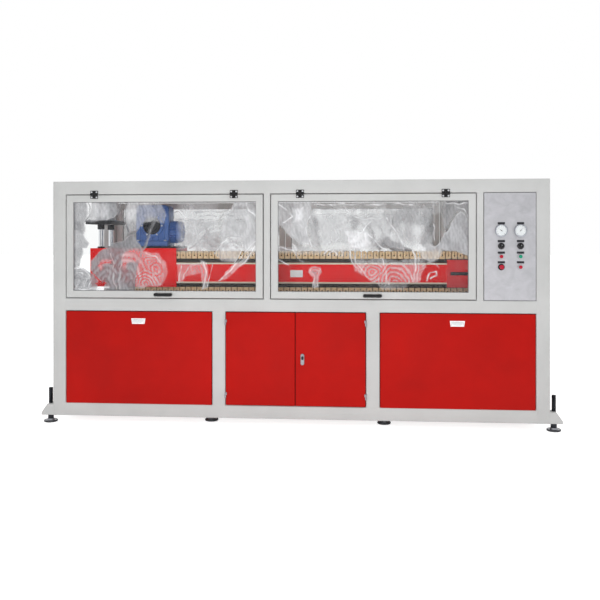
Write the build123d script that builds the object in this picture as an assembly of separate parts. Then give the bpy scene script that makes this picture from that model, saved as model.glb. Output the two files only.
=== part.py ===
"""Twin-track haul-off unit of a plastic extrusion line, in millimetres.

Z is up and the floor is zero, the control plate side faces -Y, and X runs along the line.
Lengths along the machine are measured from the left end of its tube frame.
"""
from build123d import *
import os

os.makedirs("parts", exist_ok=True)

# Tube frame
frame_length = 3000
frame_depth = 1000
floor_gap = 48
tube = 80
bottom_rail_height = 78
lower_bay_height = 568
middle_rail_height = 75
upper_bay_height = 639
top_rail_height = 80
mullion_width = 40
end_rail_drop = 80
cabinet_width = 850
left_guard_width = 1228
control_bay_width = 304
back_left_guard_width = 1265.5
back_right_guard_width = 1121

# Red sheet panels of the lower bays
panel_thickness = 15
panel_gap = 4
pull_top_width = 94
pull_bottom_width = 84
pull_height = 38
pull_stand_off = 12
pull_below_panel_top = 40

# Cabinet doors
door_thickness = 20
door_stand_off = 5
door_gap = 4
barrel_radius = 5
barrel_length = 30
barrel_end_gap = 1
barrel_face_gap = 0.5
barrel_web = 7
barrel_from_door_end = 60
lock_width = 25
lock_height = 75
lock_stand_off = 8
lock_from_split = 44

# Glazed guard doors
guard_gap = 5
guard_member_width = 42
guard_member_depth = 40
pane_thickness = 5
pane_set_back = 14
hinge_width = 48
hinge_leaf_height = 22
hinge_leaf_thickness = 6
hinge_from_door_edge = 176
knuckle_radius = 6
knuckle_face_gap = 1
knuckle_length = 16
knuckle_end_gap = 0.5
knuckle_clearance = 1
guard_handle_length = 113
guard_handle_height = 20
guard_handle_stand_off = 30
guard_handle_bar = 12
guard_handle_foot = 20
back_handle_length = 104
back_handle_width = 16
back_handle_above_middle = 95

# Feet
gusset_length = 75
gusset_height = 68
gusset_width = 80
gusset_top_length = 45
gusset_lip = 14
pad_radius = 42
pad_height = 20
pad_bevel = 8
nut_radius = 19
stud_radius = 13
stud_hole_clearance = 1
end_stud_from_post = 30
end_stud_above_gusset = 96
middle_foot_from_cabinet = 111
middle_foot_inset = 140

# Driven tracks
track_middle_height = 760
track_opening = 24
track_beam_height = 135
track_beam_half_width = 150
chain_thickness = 26
chain_half_width = 118
block_thickness = 48
block_half_width = 134
left_sprocket_from_end = 330
right_sprocket_from_end = 440
housing_plate = 8
drive_housing_start = 110
drive_housing_end = 688
drive_housing_cover = 10
drive_housing_below_axis = 92
cover_above_blocks = 10
tension_plate_from_end = 558
tension_plate_length = 318
tension_plate_height = 176
tension_bar_length = 50
slot_from_plate_start = 22
slot_length = 150
slot_height = 22
stand_thickness = 10
cross_beam_below_track = 22

# Lift of the upper track
rod_radius = 16
rod_fit = 0.05
lift_travel = 100
rod_end_gap = 10
left_rod_from_end = 163
right_rod_from_end = 265
rod_half_spacing = 100
collar_radius = 23
collar_height = 34
cylinder_radius = 32
bridge_thickness = 25
cylinder_length = 149
bridge_half_width = 160
bridge_length = 172
bore_end_gap = 8

# Drive on top of the upper track
base_plate_start = 380
base_plate_length = 320
base_plate_half_width = 112
base_plate_thickness = 12
gearbox_start = 392
gearbox_length = 224
gearbox_half_width = 72
gearbox_height = 277
gearbox_corner = 30
gearbox_foot_height = 36
gearbox_foot_half_width = 98
gearbox_boss_radius = 78
gearbox_boss_depth = 12
gearbox_cover_radius = 59
gearbox_cover_depth = 8
gearbox_cover_height = 138
motor_radius = 75
motor_length = 46
cowl_length = 34
cowl_radius = 72
motor_axis_height = 96

# Control station
control_sheet = 4
control_box_depth = 240
control_box_gap = 10
left_column_inset = 102
column_spacing = 111
gauge_below_plate_top = 225
gauge_radius = 35
gauge_depth = 12
gauge_to_knob_gap = 36
knob_radius = 20
knob_depth = 28
knob_to_button_gap = 27
button_radius = 15
button_depth = 14
button_row_gap = 28
stop_radius = 19
stop_depth = 26

# Top cover
cover_sheet = 3

# Heights and depths that follow
bottom_rail_top = floor_gap + bottom_rail_height
middle_rail_bottom = bottom_rail_top + lower_bay_height
middle_rail_top = middle_rail_bottom + middle_rail_height
top_rail_bottom = middle_rail_top + upper_bay_height
frame_top = top_rail_bottom + top_rail_height
front = -frame_depth / 2
back = frame_depth / 2
first_post_end = tube
last_post_start = frame_length - tube
cabinet_split = frame_length / 2
cabinet_start = cabinet_split - cabinet_width / 2
cabinet_end = cabinet_split + cabinet_width / 2
left_guard_start = tube
left_guard_end = left_guard_start + left_guard_width
right_guard_start = left_guard_end + mullion_width
control_start = last_post_start - control_bay_width
right_guard_end = control_start - mullion_width
tension_plate_start = frame_length - tension_plate_from_end
tension_plate_end = tension_plate_start + tension_plate_length
both = (-1, 1)


def block(x_ends, y_ends, z_ends):
    """A box between two places each way, with X measured from the left end."""
    sizes = [ends[1] - ends[0] for ends in (x_ends, y_ends, z_ends)]
    middles = [sum(ends) / 2 for ends in (x_ends, y_ends, z_ends)]
    return Pos(middles[0] - frame_length / 2, middles[1], middles[2]) * Box(*sizes)


def rod_along(axis, centre, radius, length):
    """A cylinder centred on a point, with X measured from the left end."""
    turns = {"x": Rot(0, 90, 0), "y": Rot(90, 0, 0), "z": Rot(0, 0, 0)}
    place = Pos(centre[0] - frame_length / 2, centre[1], centre[2])
    return place * turns[axis] * Cylinder(radius, length)


def at_side(side, y_ends):
    """A depth range given for the front (-1), or its mirror image at the back (1)."""
    return tuple(sorted(-side * y for y in y_ends))


def save(name, *solids):
    """Write one named piece, whose solids don't touch."""
    shape = solids[0] if len(solids) == 1 else Compound(children=list(solids))
    export_step(shape, "parts/" + name + ".step")


front_tube = (front, front + tube)
back_tube = (back - tube, back)
side_tubes = (front_tube, back_tube)
between_tubes = (front + tube, back - tube)
rail_levels = (
    (floor_gap, bottom_rail_top),
    (middle_rail_bottom, middle_rail_top),
    (top_rail_bottom, frame_top),
)
end_rail_levels = (
    rail_levels[0],
    (middle_rail_bottom - end_rail_drop, middle_rail_top - end_rail_drop),
    rail_levels[2],
)
lower_bay = (bottom_rail_top, middle_rail_bottom)
upper_bay = (middle_rail_top, top_rail_bottom)
first_post = (0, first_post_end)
last_post = (last_post_start, frame_length)
left_lower_post = (cabinet_start - tube, cabinet_start)
right_lower_post = (cabinet_end, cabinet_end + tube)
guard_mullion = (left_guard_end, right_guard_start)
control_mullion = (right_guard_end, control_start)
back_left_guard = (left_guard_start, left_guard_start + back_left_guard_width)
back_right_guard = (back_left_guard[1], back_left_guard[1] + back_right_guard_width)
back_mullion = (back_right_guard[1], back_right_guard[1] + mullion_width)

# Posts and rails
save("corner_posts", *[
    block(x, y, (floor_gap, frame_top)) for x in (first_post, last_post) for y in side_tubes
])
save("long_rails", *[
    block((first_post_end, last_post_start), y, z) for y in side_tubes for z in rail_levels
])

# Upper and lower tracks share their section
block_half_height = track_beam_height / 2 + chain_thickness + block_thickness
upper_axis = track_middle_height + track_opening / 2 + block_half_height
lower_axis = track_middle_height - track_opening / 2 - block_half_height
left_sprocket = left_sprocket_from_end
right_sprocket = frame_length - right_sprocket_from_end
cross_beam_top = lower_axis - block_half_height - cross_beam_below_track
left_rod = left_rod_from_end
right_rod = frame_length - right_rod_from_end

end_rails = [block(x, between_tubes, z) for x in (first_post, last_post) for z in end_rail_levels]
lift_beams = [
    block((x - tube / 2, x + tube / 2), between_tubes, (top_rail_bottom, frame_top))
    for x in (left_rod, right_rod)
]
track_beams = [
    block(x, between_tubes, (cross_beam_top - tube, cross_beam_top))
    for x in (left_lower_post, right_lower_post)
]
foot_beam_middles = (cabinet_start - middle_foot_from_cabinet, cabinet_end + middle_foot_from_cabinet)
foot_beams = [block((x - tube / 2, x + tube / 2), between_tubes, rail_levels[0]) for x in foot_beam_middles]
save("cross_rails", *end_rails, *lift_beams, *track_beams, *foot_beams)

# Lower posts carry the fixed halves of the cabinet hinges, and the mullions stand above
hinge_y = front - door_stand_off - barrel_face_gap - barrel_radius
door_bottom = bottom_rail_top + door_gap
door_top = middle_rail_bottom - door_gap
barrel_middles = (door_bottom + barrel_from_door_end, door_top - barrel_from_door_end)


def cabinet_barrels(hinge_x, door_side, upper_half):
    """Lift-off hinge halves with the web that joins them to a door or a post."""
    pieces = []
    for middle in barrel_middles:
        near = middle + barrel_end_gap / 2 if upper_half else middle - barrel_end_gap / 2 - barrel_length
        z = (near, near + barrel_length)
        reach = door_side * barrel_web
        web_face = front - door_stand_off if upper_half else front
        pieces.append(rod_along("z", (hinge_x, hinge_y, sum(z) / 2), barrel_radius, barrel_length))
        pieces.append(block(sorted((hinge_x, hinge_x + reach)), (hinge_y, web_face), z))
    return pieces


left_hinge_x = cabinet_start + door_gap / 2
right_hinge_x = cabinet_end - door_gap / 2
posts = [block(x, y, lower_bay) for x in (left_lower_post, right_lower_post) for y in side_tubes]
posts[0] = posts[0] + cabinet_barrels(left_hinge_x, -1, False)
posts[2] = posts[2] + cabinet_barrels(right_hinge_x, 1, False)
mullions = [block(x, front_tube, upper_bay) for x in (guard_mullion, control_mullion)]
mullions.append(block(back_mullion, back_tube, upper_bay))
save("inner_posts", *posts, *mullions)

# Outrigger gussets and levelling feet
gusset_y = (front, front + gusset_width)


def gusset(end_side, side):
    """A trapezoid block outside a corner post, drilled for its stud."""
    face = 0 if end_side < 0 else frame_length
    outline = [
        (0, gusset_height),
        (end_side * gusset_top_length, gusset_height),
        (end_side * gusset_length, gusset_lip),
        (end_side * gusset_length, 0),
        (0, 0),
    ]
    y = at_side(side, gusset_y)
    points = [(face + px - frame_length / 2, floor_gap + pz) for px, pz in outline]
    profile = Plane.XZ * make_face(Polyline(*points, close=True))
    solid = Pos(0, y[0], 0) * extrude(profile, amount=-gusset_width)
    hole_x = face + end_side * end_stud_from_post
    hole = rod_along("z", (hole_x, sum(y) / 2, floor_gap), stud_radius + stud_hole_clearance, frame_depth)
    return solid - hole


def foot(x, y, stud_top):
    """Pad and jack nut turned as one piece under the frame, with a stud where one stands up."""
    outline = [
        (0, 0),
        (pad_radius, 0),
        (pad_radius, pad_height - pad_bevel),
        (pad_radius - pad_bevel, pad_height),
        (nut_radius, pad_height),
        (nut_radius, floor_gap),
        (0, floor_gap),
    ]
    turned = revolve(Plane.XZ * make_face(Polyline(*outline, close=True)), Axis.Z)
    solid = Pos(x - frame_length / 2, y, 0) * turned
    if stud_top > floor_gap:
        solid += rod_along("z", (x, y, stud_top / 2), stud_radius, stud_top)
    return solid


save("outrigger_gussets", *[gusset(end, side) for end in both for side in both])
end_feet = [
    foot(x, side * sum(gusset_y) / 2, floor_gap + gusset_height + end_stud_above_gusset)
    for x in (-end_stud_from_post, frame_length + end_stud_from_post)
    for side in both
]
middle_feet = [
    foot(x, side * (back - middle_foot_inset), floor_gap) for x in foot_beam_middles for side in both
]
save("levelling_feet", *end_feet, *middle_feet)

# Red panels, each standing on the rail below it
left_bay = (first_post_end + panel_gap, cabinet_start - tube - panel_gap)
right_bay = (cabinet_end + tube + panel_gap, last_post_start - panel_gap)
cabinet_bay = (cabinet_start + panel_gap, cabinet_end - panel_gap)
panel_z = (bottom_rail_top, middle_rail_bottom - panel_gap)
front_sheet = (front, front + panel_thickness)
back_sheet = (back - panel_thickness, back)
panels = [block(x, front_sheet, panel_z) for x in (left_bay, right_bay)]
panels += [block(x, back_sheet, panel_z) for x in (left_bay, cabinet_bay, right_bay)]
end_y = (front + tube + panel_gap, back - tube - panel_gap)
end_x = ((0, panel_thickness), (frame_length - panel_thickness, frame_length))
end_panel_z = (bottom_rail_top, end_rail_levels[1][0] - panel_gap)
panels += [block(x, end_y, end_panel_z) for x in end_x]
save("lower_panels", *panels)
back_cover_x = (back_mullion[1] + panel_gap, last_post_start - panel_gap)
back_cover_z = (middle_rail_top, top_rail_bottom - panel_gap)
save("back_cover", block(back_cover_x, back_sheet, back_cover_z))


def panel_pull(bay, side):
    """A tapered cup pull that stands on a panel's face."""
    middle = sum(bay) / 2 - frame_length / 2
    top = panel_z[1] - pull_below_panel_top
    outline = [
        (middle - pull_top_width / 2, top),
        (middle + pull_top_width / 2, top),
        (middle + pull_bottom_width / 2, top - pull_height),
        (middle - pull_bottom_width / 2, top - pull_height),
    ]
    solid = extrude(Plane.XZ * make_face(Polyline(*outline, close=True)), amount=pull_stand_off)
    solid = Pos(0, front, 0) * solid
    return solid if side < 0 else mirror(solid, Plane.XZ)


save("panel_pulls", *[panel_pull(bay, side) for side in both for bay in (left_bay, right_bay)])

# Cabinet doors on lift-off hinges
door_y = (front - door_stand_off, front - door_stand_off + door_thickness)
left_leaf = block((cabinet_start + door_gap, cabinet_split - door_gap / 2), door_y, (door_bottom, door_top))
right_leaf = block((cabinet_split + door_gap / 2, cabinet_end - door_gap), door_y, (door_bottom, door_top))
save("left_cabinet_door", left_leaf + cabinet_barrels(left_hinge_x, 1, True))
save("right_cabinet_door", right_leaf + cabinet_barrels(right_hinge_x, -1, True))
lock_x = cabinet_split + lock_from_split
lock_middle = (door_bottom + door_top) / 2
save("cabinet_lock", block(
    (lock_x - lock_width / 2, lock_x + lock_width / 2),
    (door_y[0] - lock_stand_off, door_y[0]),
    (lock_middle - lock_height / 2, lock_middle + lock_height / 2),
))

# Guard doors, their panes, hinges and handles
guard_z = (middle_rail_top + guard_gap, top_rail_bottom - guard_gap)
left_guard_x = (left_guard_start + guard_gap, left_guard_end - guard_gap)
right_guard_x = (right_guard_start + guard_gap, right_guard_end - guard_gap)
guard_y = (front, front + guard_member_depth)
glass_z = (guard_z[0] + guard_member_width, guard_z[1] - guard_member_width)
pane_y = (front + pane_set_back, front + pane_set_back + pane_thickness)
pin_y = front - knuckle_face_gap - knuckle_radius
pin_z = guard_z[1] + guard_gap / 2


def glass_x(door_x):
    return (door_x[0] + guard_member_width, door_x[1] - guard_member_width)


def guard_frame(door_x, y):
    """Four members round a glazed opening."""
    return block(door_x, y, guard_z) - block(glass_x(door_x), y, glass_z)


def hinge_half(x, moving):
    """One leaf with its knuckles, notched where the other leaf's knuckles turn."""
    leaf_y = (front - hinge_leaf_thickness, front)
    notch = knuckle_radius + knuckle_clearance
    middle_half = knuckle_length / 2
    outer = (middle_half + knuckle_end_gap, hinge_width / 2)
    if moving:
        z = (guard_z[1] - hinge_leaf_height, guard_z[1])
        knuckles = [(-middle_half, middle_half)]
        notches = [(-outer[1], -middle_half), (middle_half, outer[1])]
    else:
        z = (top_rail_bottom, top_rail_bottom + hinge_leaf_height)
        knuckles = [(-outer[1], -outer[0]), outer]
        notches = [(-outer[0], outer[0])]
    solid = block((x - hinge_width / 2, x + hinge_width / 2), leaf_y, z)
    for low, high in notches:
        solid -= block((x + low, x + high), leaf_y, (pin_z - notch, pin_z + notch))
    for low, high in knuckles:
        solid += rod_along("x", (x + (low + high) / 2, pin_y, pin_z), knuckle_radius, high - low)
        web = sorted((pin_z, z[0] if moving else z[1]))
        solid += block((x + low, x + high), leaf_y, web)
    return solid


def bar_handle(centre_x, centre_z, side, upright):
    """A bar on two feet, along X or upright."""
    half = (back_handle_length if upright else guard_handle_length) / 2
    wide = (back_handle_width if upright else guard_handle_height) / 2
    reach_x = (wide if upright else half)
    reach_z = (half if upright else wide)
    outer = front - guard_handle_stand_off
    bar_y = at_side(side, (outer, outer + guard_handle_bar))
    foot_y = at_side(side, (outer + guard_handle_bar, front))
    x = (centre_x - reach_x, centre_x + reach_x)
    z = (centre_z - reach_z, centre_z + reach_z)
    solid = block(x, bar_y, z)
    for end in both:
        inner = end * (half - guard_handle_foot)
        outer_end = end * half
        if upright:
            z_foot = sorted((centre_z + inner, centre_z + outer_end))
            solid += block(x, foot_y, z_foot)
        else:
            x_foot = sorted((centre_x + inner, centre_x + outer_end))
            solid += block(x_foot, foot_y, z)
    return solid


fixed_leaves = []
guards = (("left", left_guard_x), ("right", right_guard_x))
for side_name, door_x in guards:
    hinge_xs = (door_x[0] + hinge_from_door_edge, door_x[1] - hinge_from_door_edge)
    save(side_name + "_guard_frame", guard_frame(door_x, guard_y))
    save(side_name + "_guard_pane", block(glass_x(door_x), pane_y, glass_z))
    save(side_name + "_guard_hinges", *[hinge_half(x, True) for x in hinge_xs])
    handle_z = guard_z[0] + guard_member_width / 2
    save(side_name + "_guard_handle", bar_handle(sum(door_x) / 2, handle_z, -1, False))
    fixed_leaves += [hinge_half(x, False) for x in hinge_xs]
save("guard_hinge_leaves", *fixed_leaves)

# Back guards: glazed frames that stand on the middle rail and lift off by two handles each
back_z = (middle_rail_top, guard_z[1])
back_frames = []
back_panes = []
back_handles = []
back_handle_z = sum(guard_z) / 2 + back_handle_above_middle
for bay in (back_left_guard, back_right_guard):
    door_x = (bay[0] + guard_gap, bay[1] - guard_gap / 2)
    if bay == back_right_guard:
        door_x = (bay[0] + guard_gap / 2, bay[1] - guard_gap)
    frame = block(door_x, at_side(1, guard_y), back_z)
    frame -= block(glass_x(door_x), at_side(1, guard_y), glass_z)
    back_frames.append(frame)
    back_panes.append(block(glass_x(door_x), at_side(1, pane_y), glass_z))
    inset = guard_member_width / 2
    back_handles += [
        bar_handle(x, back_handle_z, 1, True) for x in (door_x[0] + inset, door_x[1] - inset)
    ]
save("back_guard_frames", *back_frames)
save("back_guard_panes", *back_panes)
save("back_guard_handles", *back_handles)

# Control station
plate_y = (front, front + control_sheet)
save("control_plate", block((control_start, last_post_start), plate_y, upper_bay))
save("control_box", block(
    (control_start + control_box_gap, last_post_start - control_box_gap),
    (plate_y[1], plate_y[1] + control_box_depth),
    (middle_rail_top + control_box_gap, top_rail_bottom - control_box_gap),
))


def on_plate(x, z, radius, depth):
    """A round piece that stands on the control plate's face."""
    return rod_along("y", (x, front - depth / 2, z), radius, depth)


left_column = control_start + left_column_inset
columns = (left_column, left_column + column_spacing)
gauge_z = top_rail_bottom - gauge_below_plate_top
knob_z = gauge_z - gauge_radius - gauge_to_knob_gap - knob_radius
button_z = knob_z - knob_radius - knob_to_button_gap - button_radius
stop_z = button_z - button_radius - button_row_gap - stop_radius
save("pressure_gauges", *[on_plate(x, gauge_z, gauge_radius, gauge_depth) for x in columns])
save("control_knobs", *[on_plate(x, knob_z, knob_radius, knob_depth) for x in columns])
buttons = [on_plate(x, button_z, button_radius, button_depth) for x in columns]
buttons.append(on_plate(columns[0], stop_z, stop_radius, stop_depth))
buttons.append(on_plate(columns[1], stop_z, button_radius, button_depth))
save("push_buttons", *buttons)

# Top cover between the rails, in the gaps that the lift beams leave
cover_x_ends = (
    (first_post_end, left_rod - tube / 2),
    (left_rod + tube / 2, right_rod - tube / 2),
    (right_rod + tube / 2, last_post_start),
)
save("top_cover", *[block(x, between_tubes, (frame_top - cover_sheet, frame_top)) for x in cover_x_ends])


def loop(axis_height, outer_radius, inner_radius, half_width):
    """A stadium-shaped band round the two sprocket axes, or a full one with no inner radius."""
    span = right_sprocket - left_sprocket
    middle = (left_sprocket + right_sprocket) / 2 - frame_length / 2
    shape = SlotCenterToCenter(span, outer_radius * 2)
    if inner_radius:
        shape = shape - SlotCenterToCenter(span, inner_radius * 2)
    solid = extrude(Plane.XZ * shape, amount=half_width, both=True)
    return Pos(middle, 0, axis_height) * solid


def track(axis_height):
    """Beam, chain and rubber blocks of one track."""
    inner = track_beam_height / 2
    chain_outer = inner + chain_thickness
    block_outer = chain_outer + block_thickness
    core = loop(axis_height, inner, 0, chain_half_width)
    rails = block(
        (left_sprocket, right_sprocket),
        (-track_beam_half_width, track_beam_half_width),
        (axis_height - inner, axis_height + inner),
    )
    chain = loop(axis_height, chain_outer, inner, chain_half_width)
    blocks = loop(axis_height, block_outer, chain_outer, block_half_width)
    return core + rails, chain, blocks


def side_plates(x_ends, z_ends):
    inner = track_beam_half_width
    return [block(x_ends, at_side(side, (-inner - housing_plate, -inner)), z_ends) for side in both]


def drive_housing(axis_height, up):
    """Two side plates joined by a cover over the blocks, on the side away from the product."""
    cover_far = axis_height + up * (block_half_height + cover_above_blocks + drive_housing_cover)
    cover_near = cover_far - up * drive_housing_cover
    near = axis_height - up * drive_housing_below_axis
    x = (drive_housing_start, drive_housing_end)
    solid = block(
        x, (-track_beam_half_width, track_beam_half_width), sorted((cover_near, cover_far))
    )
    for plate in side_plates(x, sorted((near, cover_far))):
        solid += plate
    return solid


def tension_housing(axis_height):
    """Two slotted side plates joined by a bar beyond the end of the track."""
    z = (axis_height - tension_plate_height / 2, axis_height + tension_plate_height / 2)
    bar_x = (tension_plate_end - tension_bar_length, tension_plate_end)
    solid = block(bar_x, (-track_beam_half_width, track_beam_half_width), z)
    for plate in side_plates((tension_plate_start, tension_plate_end), z):
        solid += plate
    depth = track_beam_half_width + housing_plate
    for side in both:
        slot_y = at_side(side, (-depth, -track_beam_half_width))
        slot_z = (axis_height - slot_height / 2, axis_height + slot_height / 2)
        slot_start = tension_plate_start + slot_from_plate_start
        solid -= block((slot_start, slot_start + slot_length), slot_y, slot_z)
    return solid


for level, axis_height, up in (("upper", upper_axis, 1), ("lower", lower_axis, -1)):
    beam, chain, blocks = track(axis_height)
    save(level + "_track_beam", beam)
    save(level + "_track_chain", chain)
    save(level + "_track_blocks", blocks)
    housing = drive_housing(axis_height, up)
    if level == "upper":
        save("upper_drive_housing", housing)
        save("upper_tension_housing", tension_housing(axis_height))
    else:
        stands = [
            block(x, at_side(side, (-track_beam_half_width - stand_thickness, -track_beam_half_width)),
                  (cross_beam_top, axis_height + track_beam_height / 2))
            for x in (left_lower_post, right_lower_post)
            for side in both
        ]
        save("lower_track_housings", housing, tension_housing(axis_height))
        save("lower_track_stands", *stands)

# Lift: rods fixed to the upper track run up into cylinders hung from the frame
housing_top = upper_axis + block_half_height + cover_above_blocks + drive_housing_cover
tension_top = upper_axis + tension_plate_height / 2
rods = []
lifts = []
bore_top = top_rail_bottom - bore_end_gap
for x, foot_z in ((left_rod, housing_top), (right_rod, tension_top)):
    bridge_top = top_rail_bottom - cylinder_length
    bridge_z = (bridge_top - bridge_thickness, bridge_top)
    solid = block(
        (x - bridge_length / 2, x + bridge_length / 2), (-bridge_half_width, bridge_half_width), bridge_z
    )
    for side in both:
        y = side * rod_half_spacing
        top = bore_top - lift_travel - rod_end_gap
        rods.append(rod_along("z", (x, y, (foot_z + top) / 2), rod_radius, top - foot_z))
        collar_bottom = bridge_z[0] - collar_height
        body_z = (bridge_z[1] + top_rail_bottom) / 2
        collar_z = (collar_bottom + bridge_z[0]) / 2
        solid += rod_along("z", (x, y, body_z), cylinder_radius, top_rail_bottom - bridge_z[1])
        solid += rod_along("z", (x, y, collar_z), collar_radius, collar_height)
        bore_z = (collar_bottom + bore_top) / 2
        solid -= rod_along("z", (x, y, bore_z), rod_radius + rod_fit, bore_top - collar_bottom)
    lifts.append(solid)
save("lift_cylinders", *lifts)
save("piston_rods", *rods)

# Drive on the upper housing
plate_bottom = housing_top
plate_top = plate_bottom + base_plate_thickness
save("motor_base_plate", block(
    (base_plate_start, base_plate_start + base_plate_length),
    (-base_plate_half_width, base_plate_half_width),
    (plate_bottom, plate_top),
))
gearbox_end = gearbox_start + gearbox_length
gearbox_x = (gearbox_start, gearbox_end)
gearbox_middle = sum(gearbox_x) / 2
gearbox = block(gearbox_x, (-gearbox_half_width, gearbox_half_width), (plate_top, plate_top + gearbox_height))
gearbox = fillet(gearbox.edges().filter_by(Axis.Y).group_by(Axis.Z)[-1], gearbox_corner)
gearbox += block(
    gearbox_x,
    (-gearbox_foot_half_width, gearbox_foot_half_width),
    (plate_top, plate_top + gearbox_foot_height),
)
face_y = -gearbox_half_width
for radius, depth in (
    (gearbox_boss_radius, gearbox_boss_depth), (gearbox_cover_radius, gearbox_cover_depth),
):
    centre = (gearbox_middle, face_y - depth / 2, plate_top + gearbox_cover_height)
    gearbox += rod_along("y", centre, radius, depth)
    face_y -= depth
save("gearbox", gearbox)
motor_z = plate_top + motor_axis_height
motor = rod_along("x", (gearbox_end + motor_length / 2, 0, motor_z), motor_radius, motor_length)
cowl_start = gearbox_end + motor_length
motor += rod_along("x", (cowl_start + cowl_length / 2, 0, motor_z), cowl_radius, cowl_length)
save("drive_motor", motor)
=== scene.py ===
import math

import bmesh
import bpy
import numpy as np
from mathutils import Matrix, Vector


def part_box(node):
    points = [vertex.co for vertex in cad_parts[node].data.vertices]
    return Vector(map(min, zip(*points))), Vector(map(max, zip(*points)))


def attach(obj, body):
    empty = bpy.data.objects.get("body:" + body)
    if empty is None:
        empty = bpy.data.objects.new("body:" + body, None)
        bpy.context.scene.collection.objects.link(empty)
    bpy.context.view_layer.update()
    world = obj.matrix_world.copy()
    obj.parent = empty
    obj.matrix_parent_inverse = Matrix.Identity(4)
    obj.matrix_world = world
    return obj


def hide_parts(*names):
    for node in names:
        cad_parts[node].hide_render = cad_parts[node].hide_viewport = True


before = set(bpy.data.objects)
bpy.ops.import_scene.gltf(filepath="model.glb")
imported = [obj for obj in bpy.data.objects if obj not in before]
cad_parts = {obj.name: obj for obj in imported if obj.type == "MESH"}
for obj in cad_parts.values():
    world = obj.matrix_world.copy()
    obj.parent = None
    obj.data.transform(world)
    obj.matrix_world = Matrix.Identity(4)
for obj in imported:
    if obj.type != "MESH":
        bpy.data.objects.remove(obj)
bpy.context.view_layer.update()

# Camera, fitted to the tube frame's corners in the photograph
PHOTO_PIXELS = 600
FOCAL_PIXELS = 746
CENTRE_PIXEL = 300
HORIZON_PIXEL = 242.6
SENSOR_MM = 36
CAMERA_PLACE = (0.378, -4.972, 1.112)
CAMERA_TURN = 0.0779

BOTH = (-1, 1)
DOUBLES = 1e-6
# Roundings that many small parts share
CRISP = 0.001
EASED = 0.002


def box(node):
    """The lowest and highest corners of a CAD node."""
    return np.array(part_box(node), float)


FRAME_BOX = box("corner_posts")
FRONT, BACK = FRAME_BOX[:, 1]


def joined(shapes):
    """Several shapes as one: their points in a row, each face list moved on by the points before it."""
    points, faces, before = [], [], 0
    for shape_points, shape_faces in shapes:
        points.append(shape_points)
        faces += [face + before for face in shape_faces]
        before += len(shape_points)
    return np.concatenate(points), faces


def repeated(shape, places, turns=None):
    """Copies of a shape: every point times its copy's turning matrix, plus its copy's place."""
    points, faces = shape
    places = np.asarray(places, float).reshape(-1, 3)
    if turns is None:
        copies = points[None] + places[:, None]
    else:
        copies = np.einsum("kij,nj->kni", turns, points) + places[:, None]
    steps = np.arange(len(places))[:, None, None] * len(points)
    return copies.reshape(-1, 3), [(face[None] + steps).reshape(-1, face.shape[1]) for face in faces]


def surface(points, round_closed=True, along_closed=False, capped=True):
    """A grid of points, rows along and columns round, joined by quads, with one flat face on each end."""
    rows, columns = points.shape[:2]
    index = np.arange(rows * columns).reshape(rows, columns)
    beside, above = np.roll(index, -1, 1), np.roll(index, -1, 0)
    quads = np.stack([index, beside, np.roll(beside, -1, 0), above], -1)
    quads = quads[:rows if along_closed else rows - 1, :columns if round_closed else columns - 1]
    faces = [quads.reshape(-1, 4)]
    if capped:
        faces += [index[:1, ::-1], index[-1:]]
    return points.reshape(-1, 3), faces


def axes_of(axis):
    """The named axis and the two across it, in right-handed order."""
    along = "xyz".index(axis)
    return along, (along + 1) % 3, (along + 2) % 3


def rounded_loop(half_a, half_b, corner, steps=3):
    """Points round a rectangle: each corner's centre plus its radius turned through a right angle."""
    quarter = np.linspace(0, np.pi / 2, steps + 1)
    angle = np.concatenate([quarter + number * np.pi / 2 for number in range(4)])
    side_a, side_b = (np.repeat(sides, steps + 1) for sides in ((1, -1, -1, 1), (1, 1, -1, -1)))
    loop_a = side_a * (half_a - corner) + corner * np.cos(angle)
    return loop_a, side_b * (half_b - corner) + corner * np.sin(angle)


def bar(low, high, axis="z", corner=0.003, edge=0.0, steps=3):
    """A bar of rounded rectangular section along an axis. Near an end each ring shrinks by
    edge * (1 - sin t) at a depth of edge * (1 - cos t), which rounds the end."""
    low, high = np.array(low, float), np.array(high, float)
    along, a, b = axes_of(axis)
    half, middle = (high - low) / 2, (high + low) / 2
    corner = min(corner, half[a], half[b])
    edge = min(edge, corner * 0.95, half[along])
    turn = np.linspace(0, np.pi / 2, steps + 1 if edge else 1)
    inset = edge * (1 - np.sin(turn))
    rise = edge * (1 - np.cos(turn))
    inset = np.concatenate([inset, inset[::-1]])[:, None]
    loop_a, loop_b = rounded_loop(half[a] - inset, half[b] - inset, corner - inset, steps)
    points = np.zeros(loop_a.shape + (3,))
    points[..., along] = np.concatenate([low[along] + rise, high[along] - rise[::-1]])[:, None]
    points[..., a] = middle[a] + loop_a
    points[..., b] = middle[b] + loop_b
    return surface(points)


def rings(centre, axis, distance, radius, angle):
    """Rings about an axis: radius * (cos, sin) of the angle across it, at a distance along it."""
    along, a, b = axes_of(axis)
    points = np.zeros(np.broadcast(distance, radius, angle).shape + (3,))
    points[..., along] = centre[along] + distance
    points[..., a] = centre[a] + radius * np.cos(angle)
    points[..., b] = centre[b] + radius * np.sin(angle)
    return surface(points)


def turned(profile, centre, axis="z", segments=32, side=1, flutes=0, flute_share=0.0, solid=True):
    """A profile of (radius, distance) turned about an axis, towards its positive end or, with side -1,
    its negative one, and closed to the axis at both ends where it is solid. Flutes scale the radius by
    1 + share * cos(flutes * angle)."""
    radius, distance = np.array(profile, float).T
    if solid:
        radius, distance = np.pad(radius, 1), np.pad(distance, 1, "edge")
    angle = np.linspace(0, 2 * np.pi, segments, endpoint=False)
    spread = radius[:, None] * (1 + flute_share * np.cos(flutes * angle))
    return rings(centre, axis, side * distance[:, None], spread, angle)


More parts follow.
